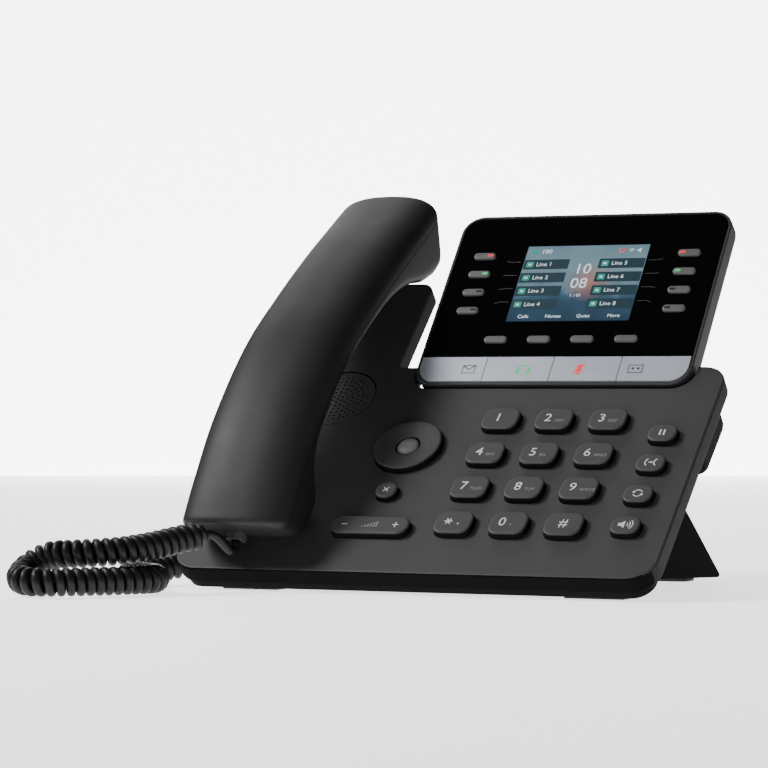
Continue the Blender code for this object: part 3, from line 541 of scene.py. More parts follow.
def mesh_from(obj, weld=1e-6):
    graph = bpy.context.evaluated_depsgraph_get()
    mesh = bpy.data.meshes.new_from_object(obj.evaluated_get(graph))
    shape = bmesh.new()
    shape.from_mesh(mesh)
    bmesh.ops.remove_doubles(shape, verts=shape.verts, dist=weld)
    bmesh.ops.recalc_face_normals(shape, faces=shape.faces)
    shape.to_mesh(mesh)
    shape.free()
    bpy.data.objects.remove(obj)
    return mesh


def link(obj):
    bpy.context.scene.collection.objects.link(obj)
    return obj


def add_line(curve, points, closed):
    spline = curve.splines.new("POLY")
    spline.points.add(len(points) - 1)
    for point, (x, y) in zip(spline.points, points):
        point.co = (x, y, 0, 1)
    spline.use_cyclic_u = closed


def plate(outlines, low, high, edge=0.0):
    """A flat plate between two heights, its edges rounded. An inner outline is a hole."""
    curve = bpy.data.curves.new("plate", "CURVE")
    curve.dimensions = "2D"
    curve.fill_mode = "BOTH"
    curve.extrude = (high - low) / 2 - edge
    curve.bevel_depth = edge
    curve.bevel_resolution = 2
    curve.offset = -edge
    for points in outlines:
        add_line(curve, points, True)
    return moved(mesh_from(link(bpy.data.objects.new("plate", curve))),
                 (0, 0, (low + high) / 2))


def loft(rings):
    """A skin through rings of equally many points (x, y, z)."""
    shape = bmesh.new()
    rows = [[shape.verts.new(point) for point in ring] for ring in rings]
    count = len(rows[0])
    for lower, upper in zip(rows, rows[1:]):
        for i in range(count):
            j = (i + 1) % count
            shape.faces.new((lower[i], lower[j], upper[j], upper[i]))
    shape.faces.new(rows[0])
    shape.faces.new(rows[-1])
    bmesh.ops.recalc_face_normals(shape, faces=shape.faces)
    return finished(shape, "loft")


def stepped(levels):
    return loft([[(x, y, height) for x, y in outline] for outline, height in levels])


def turned(profile, sides=64):
    """A solid of revolution about Z from (radius, height) pairs that run down its outer side."""
    mesh = bpy.data.meshes.new("turned")
    edges = [(i, i + 1) for i in range(len(profile) - 1)]
    mesh.from_pydata([(radius, 0, height) for radius, height in profile], edges, [])
    obj = link(bpy.data.objects.new("turned", mesh))
    screw = obj.modifiers.new("turn", "SCREW")
    screw.steps = screw.render_steps = sides
    screw.use_merge_vertices = True
    screw.merge_threshold = 1e-6
    return mesh_from(obj)


def block(low, high, edge=0.0):
    """A box between two corners, its edges rounded."""
    shape = bmesh.new()
    bmesh.ops.create_cube(shape, size=1.0)
    size = [b - a for a, b in zip(low, high)]
    centre = [(a + b) / 2 for a, b in zip(low, high)]
    shape.transform(Matrix.Translation(centre) @ Matrix.Diagonal((*size, 1)))
    if edge:
        bmesh.ops.bevel(shape, geom=shape.edges, offset=edge, segments=3, profile=0.5,
                        affect="EDGES")
    return finished(shape, "block")


def cut(mesh, tool, operation="DIFFERENCE"):
    """The mesh with another one cut from it or joined to it. Both are used up."""
    obj = link(bpy.data.objects.new("cut", mesh))
    other = link(bpy.data.objects.new("tool", tool))
    boolean = obj.modifiers.new("cut", "BOOLEAN")
    boolean.operation = operation
    boolean.object = other
    result = mesh_from(obj, 1e-7)
    bpy.data.objects.remove(other)
    return result


def joined(meshes):
    """One mesh of several, each with its own material slot."""
    shape = bmesh.new()
    materials = []
    for mesh in meshes:
        start = len(shape.faces)
        shape.from_mesh(mesh)
        shape.faces.ensure_lookup_table()
        own = mesh.materials[0] if mesh.materials else None
        if own not in materials:
            materials.append(own)
        for face in shape.faces[start:]:
            face.material_index = materials.index(own)
    result = finished(shape, "joined")
    for material in materials:
        if material:
            result.materials.append(material)
    return result


def painted(mesh, material):
    mesh.materials.clear()
    mesh.materials.append(material)
    return mesh


def moved(mesh, offset):
    mesh.transform(Matrix.Translation(offset))
    return mesh


def piece(name, mesh, body, place_in=WORLD, material=None, replaces=(), angle=32,
          weighted=True, keep_axes=False):
    """Places a mesh as a piece that rides on a body, with smooth faces and crisp edges."""
    if material:
        painted(mesh, material)
    obj = link(bpy.data.objects.new(name, mesh))
    if keep_axes:
        obj.matrix_world = place_in
    else:
        mesh.transform(place_in)
    mesh.shade_smooth()
    mesh.set_sharp_from_angle(angle=math.radians(angle))
    if weighted:
        normals = obj.modifiers.new("normals", "WEIGHTED_NORMAL")
        normals.keep_sharp = True
    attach(obj, body)
    if replaces:
        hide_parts(*replaces)
    return obj


def text_mesh(words, size, place, bold=0.0, align="CENTER"):
    """Printed characters on a face, their middle or left end at a point."""
    font = bpy.data.curves.new("words", "FONT")
    font.body = words
    font.size = size
    font.offset = bold
    font.extrude = PRINT_THICKNESS
    font.resolution_u = 3
    font.align_x = align
    font.align_y = "CENTER"
    return moved(mesh_from(link(bpy.data.objects.new("words", font))), (*place, 0))


def stroke(points, width, closed=False):
    """A printed line through points on a face."""
    curve = bpy.data.curves.new("stroke", "CURVE")
    curve.dimensions = "3D"
    curve.bevel_depth = width / 2
    curve.bevel_resolution = 2
    curve.use_fill_caps = True
    add_line(curve, points, closed)
    mesh = mesh_from(link(bpy.data.objects.new("stroke", curve)))
    mesh.transform(Matrix.Diagonal((1, 1, PRINT_THICKNESS * 2 / width, 1)))
    return mesh


def patch(outline):
    return plate([outline], -PRINT_THICKNESS, PRINT_THICKNESS)


def arc(centre, radius, start, end, steps=10):
    """Points on an arc, its angles in degrees."""
    result = []
    for step in range(steps + 1):
        angle = math.radians(start + (end - start) * step / steps)
        result.append((centre[0] + radius * math.cos(angle), centre[1] + radius * math.sin(angle)))
    return result


def smooth_route(points, spacing):
    """Evenly spaced points on a smooth curve through the route's own points."""
    points = [Vector(point) + DESK_SHIFT for point in points]
    tangents = [(points[min(i + 1, len(points) - 1)] - points[max(i - 1, 0)]) / 2
                for i in range(len(points))]
    fine = []
    for (a, b), (ta, tb) in zip(zip(points, points[1:]), zip(tangents, tangents[1:])):
        fine += interpolate_bezier(a, a + ta / 3, b - tb / 3, b, 33)[:-1]
    fine.append(points[-1])
    lengths = [0.0]
    for a, b in zip(fine, fine[1:]):
        lengths.append(lengths[-1] + (b - a).length)
    count = max(2, round(lengths[-1] / spacing))
    result, i = [], 0
    for step in range(count + 1):
        target = lengths[-1] * step / count
        while lengths[i + 1] < target and i < len(lengths) - 2:
            i += 1
        share = (target - lengths[i]) / (lengths[i + 1] - lengths[i])
        result.append(fine[i].lerp(fine[i + 1], share))
    return result


# ---------------------------------------------------------------- camera, light and floor

def add_area(name, location, target, size, power):
    light = bpy.data.lights.new(name, "AREA")
    light.size = size
    light.energy = power
    obj = link(bpy.data.objects.new(name, light))
    obj.location = location
    obj.rotation_euler = (Vector(target) - Vector(location)).to_track_quat("-Z", "Y").to_euler()


def make_stage():
    camera = bpy.data.cameras.new("camera")
    camera.lens = CAMERA_LENS
    camera.sensor_width = 36
    camera.shift_y = CAMERA_SHIFT
    camera.clip_end = 20
    obj = link(bpy.data.objects.new("camera", camera))
    obj.location = CAMERA_PLACE
    obj.rotation_euler = (math.radians(90), 0, CAMERA_TURN)
    bpy.context.scene.camera = obj

    floor = set_panel("floor", 12)
    floor.location = (0, 0, -0.0002)  # just under the feet, so that they don't flicker with it
    paper = plastic("floor_paper", (0.88, 0.88, 0.88), 0.8, grain=0.002, variation=0.01)
    set_inputs(paper.node_tree.nodes["Principled BSDF"], Emission_Color=(1, 1, 1, 1),
               Emission_Strength=FLOOR_GLOW)
    floor.data.materials.append(paper)
    backdrop = set_panel("backdrop", 0.9)
    backdrop.location = BACKDROP_PLACE
    backdrop.rotation_euler = (math.radians(90), 0, CAMERA_TURN)
    backdrop.data.materials.append(glow("backdrop_light", (1.0, 1.0, 1.0), BACKDROP_GLOW))

    world = bpy.data.worlds.new("studio")
    bpy.context.scene.world = world
    world.use_nodes = True
    set_inputs(world.node_tree.nodes["Background"], Color=(0.95, 0.97, 1.0, 1),
               Strength=WORLD_GLOW)
    for light in LIGHTS:
        add_area(*light)


def set_panel(name, side):
    """A flat sheet of the set, not of the telephone."""
    shape = bmesh.new()
    bmesh.ops.create_grid(shape, x_segments=1, y_segments=1, size=0.5)
    shape.transform(Matrix.Diagonal((side, side, 1, 1)))
    return link(bpy.data.objects.new(name, finished(shape, name)))


# ---------------------------------------------------------------- cord

def wound(route, radius, pitch, steps_per_turn=18):
    """A helix around a smooth route, opening from its axis over the first and last turns."""
    turns = round(path_length(route) / pitch)
    count = turns * steps_per_turn
    side = (route[1] - route[0]).orthogonal().normalized()
    points = []
    for i in range(count + 1):
        at = i / count * (len(route) - 1)
        k = min(int(at), len(route) - 2)
        centre = route[k].lerp(route[k + 1], at - k)
        ahead = (route[min(k + 3, len(route) - 1)] - route[max(k - 2, 0)]).normalized()
        side = (side - ahead * side.dot(ahead)).normalized()
        over = ahead.cross(side)
        angle = 2 * math.pi * turns * i / count
        opening = min(1, i / steps_per_turn, (count - i) / steps_per_turn)
        reach = radius * opening ** 2 * (3 - 2 * opening)
        points.append(centre + (side * math.cos(angle) + over * math.sin(angle)) * reach)
    return points


def path_length(points):
    return sum((b - a).length for a, b in zip(points, points[1:]))


def tube(points, diameter, sides=12):
    """A round tube through points, its rings carried along so that they never twist."""
    side = (points[1] - points[0]).orthogonal().normalized()
    rings = []
    for i, point in enumerate(points):
        ahead = points[min(i + 1, len(points) - 1)] - points[max(i - 1, 0)]
        ahead.normalize()
        side = (side - ahead * side.dot(ahead)).normalized()
        over = ahead.cross(side)
        angles = [2 * math.pi * step / sides for step in range(sides)]
        rings.append([point + (side * math.cos(a) + over * math.sin(a)) * diameter / 2
                      for a in angles])
    return loft(rings)


def follow_handset(cord, points, lead, reach):
    """Works out how much each ring of the cord's upper run would follow the lifting handset: less,
    further along. The weights are not applied to the cord.
    """
    sides = len(cord.data.vertices) // len(points)
    weights = []
    travelled = 0.0
    for i, point in enumerate(points):
        travelled += (point - points[i - 1]).length if i else 0
        share = min(max((travelled - lead) / reach, 0), 1)
        weights += [1 - share ** 2 * (3 - 2 * share)] * sides


def contacts(count, middle, low, high):
    """A row of gold contacts, each a box between two corners (y, z)."""
    blocks = []
    for i in range(count):
        x = middle + (i - (count - 1) / 2) * CONTACT_PITCH
        blocks.append(painted(block((x - CONTACT_HALF, *low), (x + CONTACT_HALF, *high)), GOLD))
    return blocks


def modular_plug(name, node, body, along):
    """A clear modular plug: a body with a latch, gold contacts and the cord's grip."""
    along = (SLAB.to_3x3() @ along).normalized()
    place_in = (Matrix.Translation(middle_of(node, WORLD))
                @ axes(ACROSS, along, ACROSS.cross(along)))
    low, high = extent(node, place_in)
    shell = cut(block(low, high, 0.0003),
                block((-0.0021, high.y - 0.0030, -0.0021), (0.0021, high.y + 0.001, 0.0021)))
    latch = block((-0.0016, low.y + 0.0010, high.z - 0.0001),
                  (0.0016, high.y - 0.0004, high.z + 0.0003), 0.0001)
    parts = [painted(shell, CLEAR), painted(latch, CLEAR)]
    parts += contacts(4, 0, (low.y, low.z - 0.0001), (low.y + 0.0030, low.z + 0.0009))
    return piece(name, joined(parts), body, place_in, replaces=(node,))


def make_cord():
    """One curly cord from the handset's jack to the base's, as a single tube."""
    lead = smooth_route(HANDSET_LEAD_ROUTE, 0.001)
    axis = smooth_route(COIL_ROUTE, 0.001)
    tail = smooth_route(BASE_LEAD_ROUTE[::-1], 0.0015)
    coil = wound(axis, (COIL_DIAMETER - WIRE_DIAMETER) / 2 - 0.0001, TURN_PITCH)
    points = lead + coil[1:] + tail[1:]
    cord = link(bpy.data.objects.new("curly_cord", painted(tube(points, WIRE_DIAMETER), JACKET)))
    cord.data.shade_smooth()
    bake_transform(cord)
    stretch = path_length(coil) * STRETCHING_RUN / path_length(axis)
    follow_handset(cord, points, path_length(lead), stretch)
    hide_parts("cord_coil", "cord_lead_handset", "cord_lead_base")
    plugs = [modular_plug("handset_plug", "plug_handset", "handset", handset_outward()),
             modular_plug("base_plug", "plug_base", "base", Vector((0, -1, 0)))]


# ---------------------------------------------------------------- body

def key_centre(node, place_in=SLAB):
    return middle_of(node, place_in).xy


def cover_openings(extra):
    outlines = [rectangle(*grown(DIAL_SIZE, extra), key_centre(f"key_{name}")) for name in DIAL]
    outlines += [rectangle(*grown(SIDE_SIZE, extra), key_centre(name)) for name in SIDE_ICONS]
    return outlines + [
        rectangle(*grown(VOLUME_SIZE, extra), key_centre("volume_rocker")),
        circle(RING_RADII[1] + extra, key_centre("nav_ring")),
        circle(CANCEL_RADIUS + extra, key_centre("cancel_key"), 40),
        circle(SPEAKER_RADIUS + extra, key_centre("speaker_grille")),
        rectangle(*grown(HOOK_SIZE, extra), key_centre("hook_switch")),
    ]


def laid_across(mesh, centre):
    """A turned mesh with its axis laid from side to side."""
    mesh.transform(Matrix.Translation(centre) @ Matrix.Rotation(math.pi / 2, 4, "Y"))
    return mesh


def hinge_bore(length, centre):
    return laid_across(turned([(0, length / 2), (HINGE_BORE, length / 2),
                               (HINGE_BORE, -length / 2), (0, -length / 2)], 32), centre)


def make_top_cover():
    cover = plate([slab_outline(0, 0)], -SIDE_DEPTH, 0, 0.0009)
    cover = cut(cover, plate([slab_outline(SKIN, SKIN)], -2 * SIDE_DEPTH, -SKIN))
    cover = cut(cover, plate(cover_openings(KEY_HOLE_GAP), -2 * SKIN, SKIN))
    shaft = middle_of("hinge_shaft", SLAB)
    low, high = extent("hinge_shaft", SLAB)
    cover = cut(cover, hinge_bore(high.x - low.x + 0.002, (DISPLAY_MIDDLE, shaft.y, shaft.z)))
    # The walls get a darker copy of the charcoal: painted shade.
    paint_shaded_walls(cover, CHARCOAL, WALL_SHADE_CHARCOAL)
    # Walls that face the front get a near-black copy of the charcoal: painted shade.
    cover.materials.append(FRONT_SHADE_CHARCOAL)
    for face in cover.polygons:
        if face.normal.y < FRONT_SHADE_LIMIT:
            face.material_index = 2
    piece("top_cover_shell", cover, "base", SLAB, replaces=("top_cover",))


def ringed_places(rings, pitch, stagger=0.0):
    """Places in rings around a middle one, each odd ring turned by a share of its step."""
    places = []
    for ring in range(rings):
        count = max(1, 6 * ring)
        for i in range(count):
            angle = 2 * math.pi * (i + stagger * (ring % 2)) / count
            places.append((ring * pitch * math.cos(angle), ring * pitch * math.sin(angle)))
    return places


def make_grille():
    """A disc perforated in rings, with a raised lip and a near-black plate behind it: painted shade
    seen through the holes.
    """
    holes = [circle(GRILLE_HOLE, at, 10)
             for at in ringed_places(GRILLE_RINGS, GRILLE_PITCH, 0.5)]
    disc = plate([circle(SPEAKER_RADIUS - 0.0002)] + holes, -0.0019, -0.0004)
    lip = turned([(SPEAKER_RADIUS - inset, height) for inset, height in (
        (0.0010, -0.0002), (0.0003, -0.0002), (0.0002, -0.0004), (0.0002, -0.0012),
        (0.0011, -0.0012), (0.0011, -0.0003), (0.0010, -0.0002))], 72)
    rim = SPEAKER_RADIUS - 0.0004
    back = turned([(0, -0.0021), (rim, -0.0021), (rim, -0.0023), (0, -0.0023)], 48)
    mesh = joined([painted(disc, KEY_CHARCOAL), painted(lip, KEY_CHARCOAL), painted(back, HOLE_SHADE)])
    piece("speaker_grille_disc", moved(mesh, (*key_centre("speaker_grille"), 0)), "base", SLAB,
          replaces=("speaker_grille",))


def make_bottom_cover():
    rim_top = -SIDE_DEPTH - GAP
    tray = plate([slab_outline(UNDER_INSET, UNDER_FRONT)], UNDERSIDE, rim_top, 0.0006)
    middle, length = (TROUGH_FRONT + TROUGH_REAR) / 2, TROUGH_REAR - TROUGH_FRONT
    heights = [(less, TROUGH_BOTTOM + rise) for less, rise in TROUGH_ROUNDING]
    heights.append((0, rim_top - 0.0008))
    levels = [(rectangle(2 * TROUGH_HALF_WIDTH - less, length - less, TROUGH_CORNER,
                         (0, middle)), height) for less, height in heights]
    cover = cut(tray, stepped(levels), "UNION")
    hollow = UNDER_INSET + SKIN
    above = 0.002
    cover = cut(cover, plate([slab_outline(hollow, hollow)], UNDERSIDE + SKIN, above))
    side, floor = TROUGH_HALF_WIDTH - SKIN, TROUGH_BOTTOM + SKIN
    left, right = pocket_sides()
    split, rear = POCKET_FRONT - SKIN, TROUGH_REAR - SKIN
    for low, high in (
        ((-side, TROUGH_FRONT + SKIN, floor), (side, split, above)),
        ((-side, split - 0.001, floor), (left - SKIN * 1.8, rear, above)),
        ((left - SKIN * 2, split - 0.001, floor), (right, rear, POCKET_FLOOR - SKIN)),
        ((left, POCKET_FRONT, POCKET_FLOOR), (right, BODY_LENGTH + 0.01, above)),
    ):
        cover = cut(cover, block(low, high))
    for across, width, height in sockets():
        cover = cut(cover, socket_tool(across, width / 2 + SOCKET_CLEARANCE,
                                       height / 2 + SOCKET_CLEARANCE,
                                       TROUGH_FRONT - 0.003, TROUGH_FRONT + 0.003))
    across, lowest = VENT_PLACE
    vents = [rectangle(*VENT_SIZE, (column * across, lowest + row * VENT_PITCH), 3)
             for row in range(VENT_ROWS) for column in (-1, 1)]
    cover = cut(cover, plate(vents, UNDERSIDE - 0.002, UNDERSIDE + 0.005))
    painted(cover, DARK)
    piece("bottom_cover_shell", cover, "base", SLAB, replaces=("bottom_cover",))


def sockets():
    """Middle across, width and height of each socket in the trough's front wall."""
    return ((-0.036, *WIDE_SOCKET), (-0.012, *WIDE_SOCKET), (0.010, *CORD_SOCKET),
            (middle_of("plug_base", SLAB).x, *CORD_SOCKET))


def socket_tool(across, half_width, half_height, near, far):
    return block((across - half_width, near, SOCKET_HEIGHT - half_height),
                 (across + half_width, far, SOCKET_HEIGHT + half_height))


def make_jacks():
    low, high = extent("jack_block", SLAB)
    mesh = block(low, high, 0.0003)
    parts = []
    for across, width, height in sockets():
        mesh = cut(mesh, socket_tool(across, width / 2, height / 2, low.y - 0.001, low.y + 0.012))
        top = SOCKET_HEIGHT + height / 2
        parts += contacts(8 if width == WIDE_SOCKET[0] else 4, across,
                          (low.y + 0.003, top - 0.0011), (low.y + 0.011, top - 0.0005))
    piece("jack_block_shell", joined([painted(mesh, BLACK)] + parts), "base", SLAB,
          replaces=("jack_block",))


def make_board():
    low, high = extent("main_board", SLAB)
    board = painted(block(low, high), BOARD)
    piece("main_board_plate", board, "base", SLAB, replaces=("main_board",))


def make_screws():
    """Cross-head screws sunk in round bosses on the underside."""
    for number, (x, y) in enumerate(SCREW_PLACES, 1):
        ring, head = (
            turned([(radius, UNDERSIDE + height) for radius, height in profile], sides)
            for profile, sides in (
                (((0.0026, 0.0002), (0.0040, 0.0002), (0.0044, -0.0002), (0.0040, -0.0005),
                  (0.0028, -0.0005), (0.0026, 0.0002)), 36),
                (((0, 0), (0.0025, 0), (0.0025, -0.0001), (0.0018, -0.0004), (0, -0.0005)), 28)))
        for width, height in ((0.0026, 0.0006), (0.0006, 0.0026)):
            head = cut(head, block((-width / 2, -height / 2, UNDERSIDE - 0.001),
                                   (width / 2, height / 2, UNDERSIDE - 0.0002)))
        mesh = joined([painted(ring, DARK), painted(head, STEEL)])
        piece(f"case_screw_{number}", moved(mesh, (x, y, 0)), "base", SLAB)


def make_hook():
    low, high = extent("hook_switch", SLAB)
    centre = ((low.x + high.x) / 2, (low.y + high.y) / 2)
    width, height, radius = HOOK_SIZE
    levels = [(rectangle(width - 2 * inset, height - 2 * inset, radius - inset, centre),
               high.z - drop) for inset, drop in HOOK_ROUNDING]
    levels.append((rectangle(width, height, radius, centre), high.z - HOOK_STEM))
    foot = rectangle(width + 0.002, height + 0.002, radius + 0.001, centre)
    levels += [(foot, high.z - HOOK_STEM), (foot, low.z)]
    piece("hook_plunger", stepped(levels), "hook_switch", SLAB, BLACK, ("hook_switch",))


# ---------------------------------------------------------------- keys

CAP_SHAPE = (0.0009 * 1.9, 0.0009, 0.0009, EDGE_ANGLES, FLANGE)
PILL_SHAPE = (0.0011, 0.0007, 0.0005, (15, 40, 65, 90), 0.0006)


def key_mesh(size, centre, top, foot, crown, side, drop, angles, flange):
    """A key with rounded top edges over a retaining flange."""
    levels = [(rectangle(*grown(size, -crown), centre), top)]
    for turn in map(math.radians, angles):
        levels.append((rectangle(*grown(size, -side * (1 - math.sin(turn))), centre),
                       top - drop * (1 - math.cos(turn))))
    wide = rectangle(*grown(size, flange), centre)
    return stepped(levels + [(rectangle(*size, centre), foot), (wide, foot),
                             (wide, foot - flange)])


def paint_shaded_walls(mesh, top_material, wall_shade_material):
    """Paints faces that look outwards with one material, and the walls with a darker copy of it:
    painted shade.
    """
    painted(mesh, top_material)
    mesh.materials.append(wall_shade_material)
    for face in mesh.polygons:
        if face.normal.z < WALL_SHADE_LIMIT:
            face.material_index = 1
    return mesh


def cap_piece(name, node, mesh):
    # The key walls get a near-black copy of the key charcoal: painted shade.
    piece(name, paint_shaded_walls(mesh, KEY_CHARCOAL, KEY_SIDE_SHADE), node, SLAB, replaces=(node,))


def legend(name, body, place_in, place, groups):
    """Printing as one piece, from groups of a material and the meshes that have it."""
    mesh = joined([painted(m, material) for material, meshes in groups for m in meshes])
    return piece(name, moved(mesh, place), body, place_in, weighted=False)


def on_key(centre):
    return (*centre, KEY_TOP + INK_LIFT)


# Each icon is drawn around the origin.

def speaker_icon():
    horn = ((-0.0030, -0.0008), (-0.0018, -0.0008), (-0.0002, -0.0021), (-0.0002, 0.0021),
            (-0.0018, 0.0008), (-0.0030, 0.0008))
    return [patch(horn)] + [stroke(arc((-0.0001, 0), radius, -45, 45), 0.00042)
                            for radius in (0.0012, 0.0023, 0.0034)]


def redial_icon():
    meshes = []
    for start in (20, 200):
        points = arc((0, 0), 0.0019, start, start + 130)
        meshes.append(stroke(points, KEY_INK))
        end = Vector(points[-1])
        ahead = math.radians(start + 220)
        tip = Vector((math.cos(ahead), math.sin(ahead)))
        side = Vector((-tip.y, tip.x)) * 0.0008
        meshes.append(patch([end + tip * 0.0011, end + side, end - side]))
    return meshes


def transfer_icon():
    meshes = [stroke(arc((shift, 0), 0.0026, 130, 230), 0.00055) for shift in (0.0004, 0.0043)]
    return meshes + [stroke([(-0.0009, 0), (0.0006, 0)], 0.0004),
                     patch([(0.0013, 0), (0.0003, 0.0007), (0.0003, -0.0007)])]


def pause_icon():
    return [patch(rectangle(0.00075, 0.0034, 0.0002, (shift, 0), 2))
            for shift in (-0.0009, 0.0009)]


SIDE_ICONS = {"key_hold": pause_icon, "key_transfer": transfer_icon, "key_redial": redial_icon,
              "key_speaker": speaker_icon}


def make_dial_keys():
    for name, (digit, letters) in DIAL.items():
        node = f"key_{name}"
        centre = key_centre(node)
        cap_piece(f"cap_{name}", node,
                  key_mesh(DIAL_SIZE, centre, KEY_TOP, KEY_FOOT, *CAP_SHAPE))
        if name == "star":
            marks = [stroke(arc((-0.0022, 0.0002), 0.0018, turn, turn + 180, 1), 0.00052)
                     for turn in (0, 60, 120)]
            marks.append(patch(circle(DOT_RADIUS, (0.0024, -0.0012), 16)))
        else:
            shift, bold = (0.0026 if letters else 0.0), 0.00001
            if name == "1":
                shift, bold = 0.0010, 0.00004
            marks = [text_mesh(digit, DIGIT_SIZE, (-shift, 0.0002), bold)]
        small = []
        if letters:
            size = PLUS_SIZE if letters == "+" else LETTER_SIZE
            small.append(text_mesh(letters, size, (0.0006, -0.0013), 0.00002, "LEFT"))
        legend(f"legend_{name}", node, SLAB, on_key(centre),
               ((WHITE_INK, marks), (DIM_INK, small)))


def make_side_keys():
    for node, icon in SIDE_ICONS.items():
        centre = key_centre(node)
        cap_piece(f"cap_{node[4:]}", node,
                  key_mesh(SIDE_SIZE, centre, KEY_TOP, KEY_FOOT, *CAP_SHAPE))
        legend(f"legend_{node[4:]}", node, SLAB, on_key(centre), ((WHITE_INK, icon()),))


def make_volume():
    centre = key_centre("volume_rocker")
    cap_piece("cap_volume", "volume_rocker",
              key_mesh(VOLUME_SIZE, centre, KEY_TOP, ROCKER_FOOT, *CAP_SHAPE))
    marks = [stroke(ends, KEY_INK) for ends in (
        ((-0.0130, 0), (-0.0103, 0)), ((0.0103, 0), (0.0133, 0)),
        ((0.0118, -0.0015), (0.0118, 0.0015)))]
    bars = [patch(rectangle(0.0007, 0.0006 + 0.00055 * i, 0.0001,
                            (0.00125 * i - 0.0030, 0.000275 * i - 0.0013), 1))
            for i in range(6)]
    legend("legend_volume", "volume_rocker", SLAB, on_key(centre),
           ((WHITE_INK, marks), (DIM_INK, bars)))


def make_navigation():
    centre = (*key_centre("nav_ring"), 0)
    inner, outer = RING_RADII
    rim = [(outer - 0.0009 * (1 - math.sin(a)), KEY_TOP - 0.0009 * (1 - math.cos(a)))
           for a in map(math.radians, EDGE_ANGLES)]
    dish = [(inner, 0.0019), (inner + 0.0003, 0.0022), (inner + 0.0012, 0.0023),
            (inner + 0.0035, 0.00255), (inner + 0.0062, 0.00285)]
    skirt = [(outer, ROCKER_FOOT), (outer + 0.0015, ROCKER_FOOT), (outer + 0.0015, -0.0043),
             (inner, -0.0043), (inner, 0.0019)]
    cap_piece("navigation_ring", "nav_ring", moved(turned(dish + rim + skirt, 96), centre))
    dots = [patch(circle(DOT_RADIUS, (0.0112 * math.cos(a), 0.0112 * math.sin(a)), 16))
            for a in (0, math.pi / 2, math.pi, 3 * math.pi / 2)]
    legend("legend_ring", "nav_ring", SLAB, (*centre[:2], 0.00290), ((DARK_INK, dots),))
    skirt = OK_RADIUS + 0.0018
    dome = [(0, 0.0030), (0.0020, 0.00295), (0.0034, 0.0028), (0.0043, 0.0024),
            (OK_RADIUS - 0.0002, 0.0018), (OK_RADIUS, 0.0012), (OK_RADIUS, -0.0050),
            (skirt, -0.0050), (skirt, -0.0058), (0, -0.0058)]
    piece("ok_dome", moved(turned(dome, 64), centre), "ok_key", SLAB, OK_GREY, ("ok_key",))
    legend("legend_ok", "ok_key", SLAB, (*centre[:2], 0.00300),
           ((DIM_INK, [text_mesh("OK", 0.0030, (0, 0), 0.00005)]),))


def make_cancel_key():
    centre = key_centre("cancel_key")
    button = [(0, KEY_TOP - 0.0002), (0.0028, KEY_TOP - 0.00008),
              (CANCEL_RADIUS - 0.0008, KEY_TOP), (CANCEL_RADIUS - 0.0003, KEY_TOP - 0.0002),
              (CANCEL_RADIUS, KEY_TOP - 0.0007), (CANCEL_RADIUS, KEY_FOOT),
              (CANCEL_RADIUS + 0.0011, KEY_FOOT), (CANCEL_RADIUS + 0.0011, -0.0035),
              (0, -0.0035)]
    cap_piece("cap_cancel", "cancel_key", moved(turned(button, 48), (*centre, 0)))
    size = 0.0012
    cross = [stroke([(-size, -side * size), (size, side * size)], KEY_INK) for side in (1, -1)]
    legend("legend_cancel", "cancel_key", SLAB, (*centre, KEY_TOP - 0.00008),
           ((WHITE_INK, cross),))


# ---------------------------------------------------------------- display

def display_outline(inset):
    return rectangle(DISPLAY_WIDTH - 2 * inset, DISPLAY_HEIGHT - 2 * inset,
                     DISPLAY_CORNER - inset, (0, DISPLAY_HEIGHT / 2), 10)


LINE_KEYS = [f"line_key_{side}{number}" for side in "lr" for number in (1, 2, 3, 4)]
SOFT_KEYS = [f"soft_key_{number}" for number in (1, 2, 3, 4)]


def make_display_shell():
    steps = ((0.0030, 0), (0.0020, 0.0003), (0.0010, 0.0010), (0.0003, 0.0022), (0.0, 0.0036))
    levels = [(display_outline(inset), rise - DISPLAY_THICKNESS) for inset, rise in steps]
    levels += [(display_outline(0.0), -0.0006), (display_outline(0.0004), -0.0002)]
    shell = cut(stepped(levels), plate([display_outline(RIM)], -0.009, 0.001))
    shaft = middle_of("hinge_shaft", DISPLAY)
    shell = cut(shell, hinge_bore(0.2, (0, shaft.y, shaft.z)))
    vents = [rectangle(0.040, 0.0016, 0.0007, (0, 0.066 + row * 0.0042), 3) for row in range(5)]
    shell = cut(shell, plate(vents, -0.0115, -0.0103))
    piece("display_back", shell, "display", DISPLAY, GREY, ("display_rear_cover",))


def make_fascia():
    inset = RIM + GAP
    half, top = DISPLAY_WIDTH / 2 - inset, DISPLAY_HEIGHT - inset
    corner = DISPLAY_CORNER - inset
    outline = rounded([(-half, STRIP_TOP, 0), (half, STRIP_TOP, 0), (half, top, corner),
                       (-half, top, corner)], 10)
    panel = plate([outline], -FASCIA_THICKNESS, 0, 0.00025)
    middle, width, height = SCREEN
    holes = [rectangle(*grown(size, GAP), key_centre(node, DISPLAY))
             for size, nodes in ((LINE_SIZE, LINE_KEYS), (SOFT_SIZE, SOFT_KEYS)) for node in nodes]
    holes.append(rectangle(width, height, 0.0008, (0, middle), 3))
    panel = cut(panel, plate(holes, -2 * FASCIA_THICKNESS, FASCIA_THICKNESS))
    piece("display_panel", panel, "display", DISPLAY, GLOSS, ("display_fascia",))
    leaders = []
    for node in LINE_KEYS:
        side = -1 if node[-2] == "l" else 1
        row = middle + height / 2 - 0.0095 - (int(node[-1]) - 1) * ROW_PITCH
        key = key_centre(node, DISPLAY)
        inner = side * (width / 2 + LEADER_START)
        bend, end = inner + side * LEADER_BEND, inner + side * LEADER_END
        rise = (key.y - row) * (end - bend) / (key.x - bend)
        leaders.append(stroke([(inner, row), (bend, row), (end, row + rise)], LEADER_WIDTH))
    legend("leader_lines", "display", DISPLAY, (0, 0, INK_LIFT), ((LEADER_INK, leaders),))


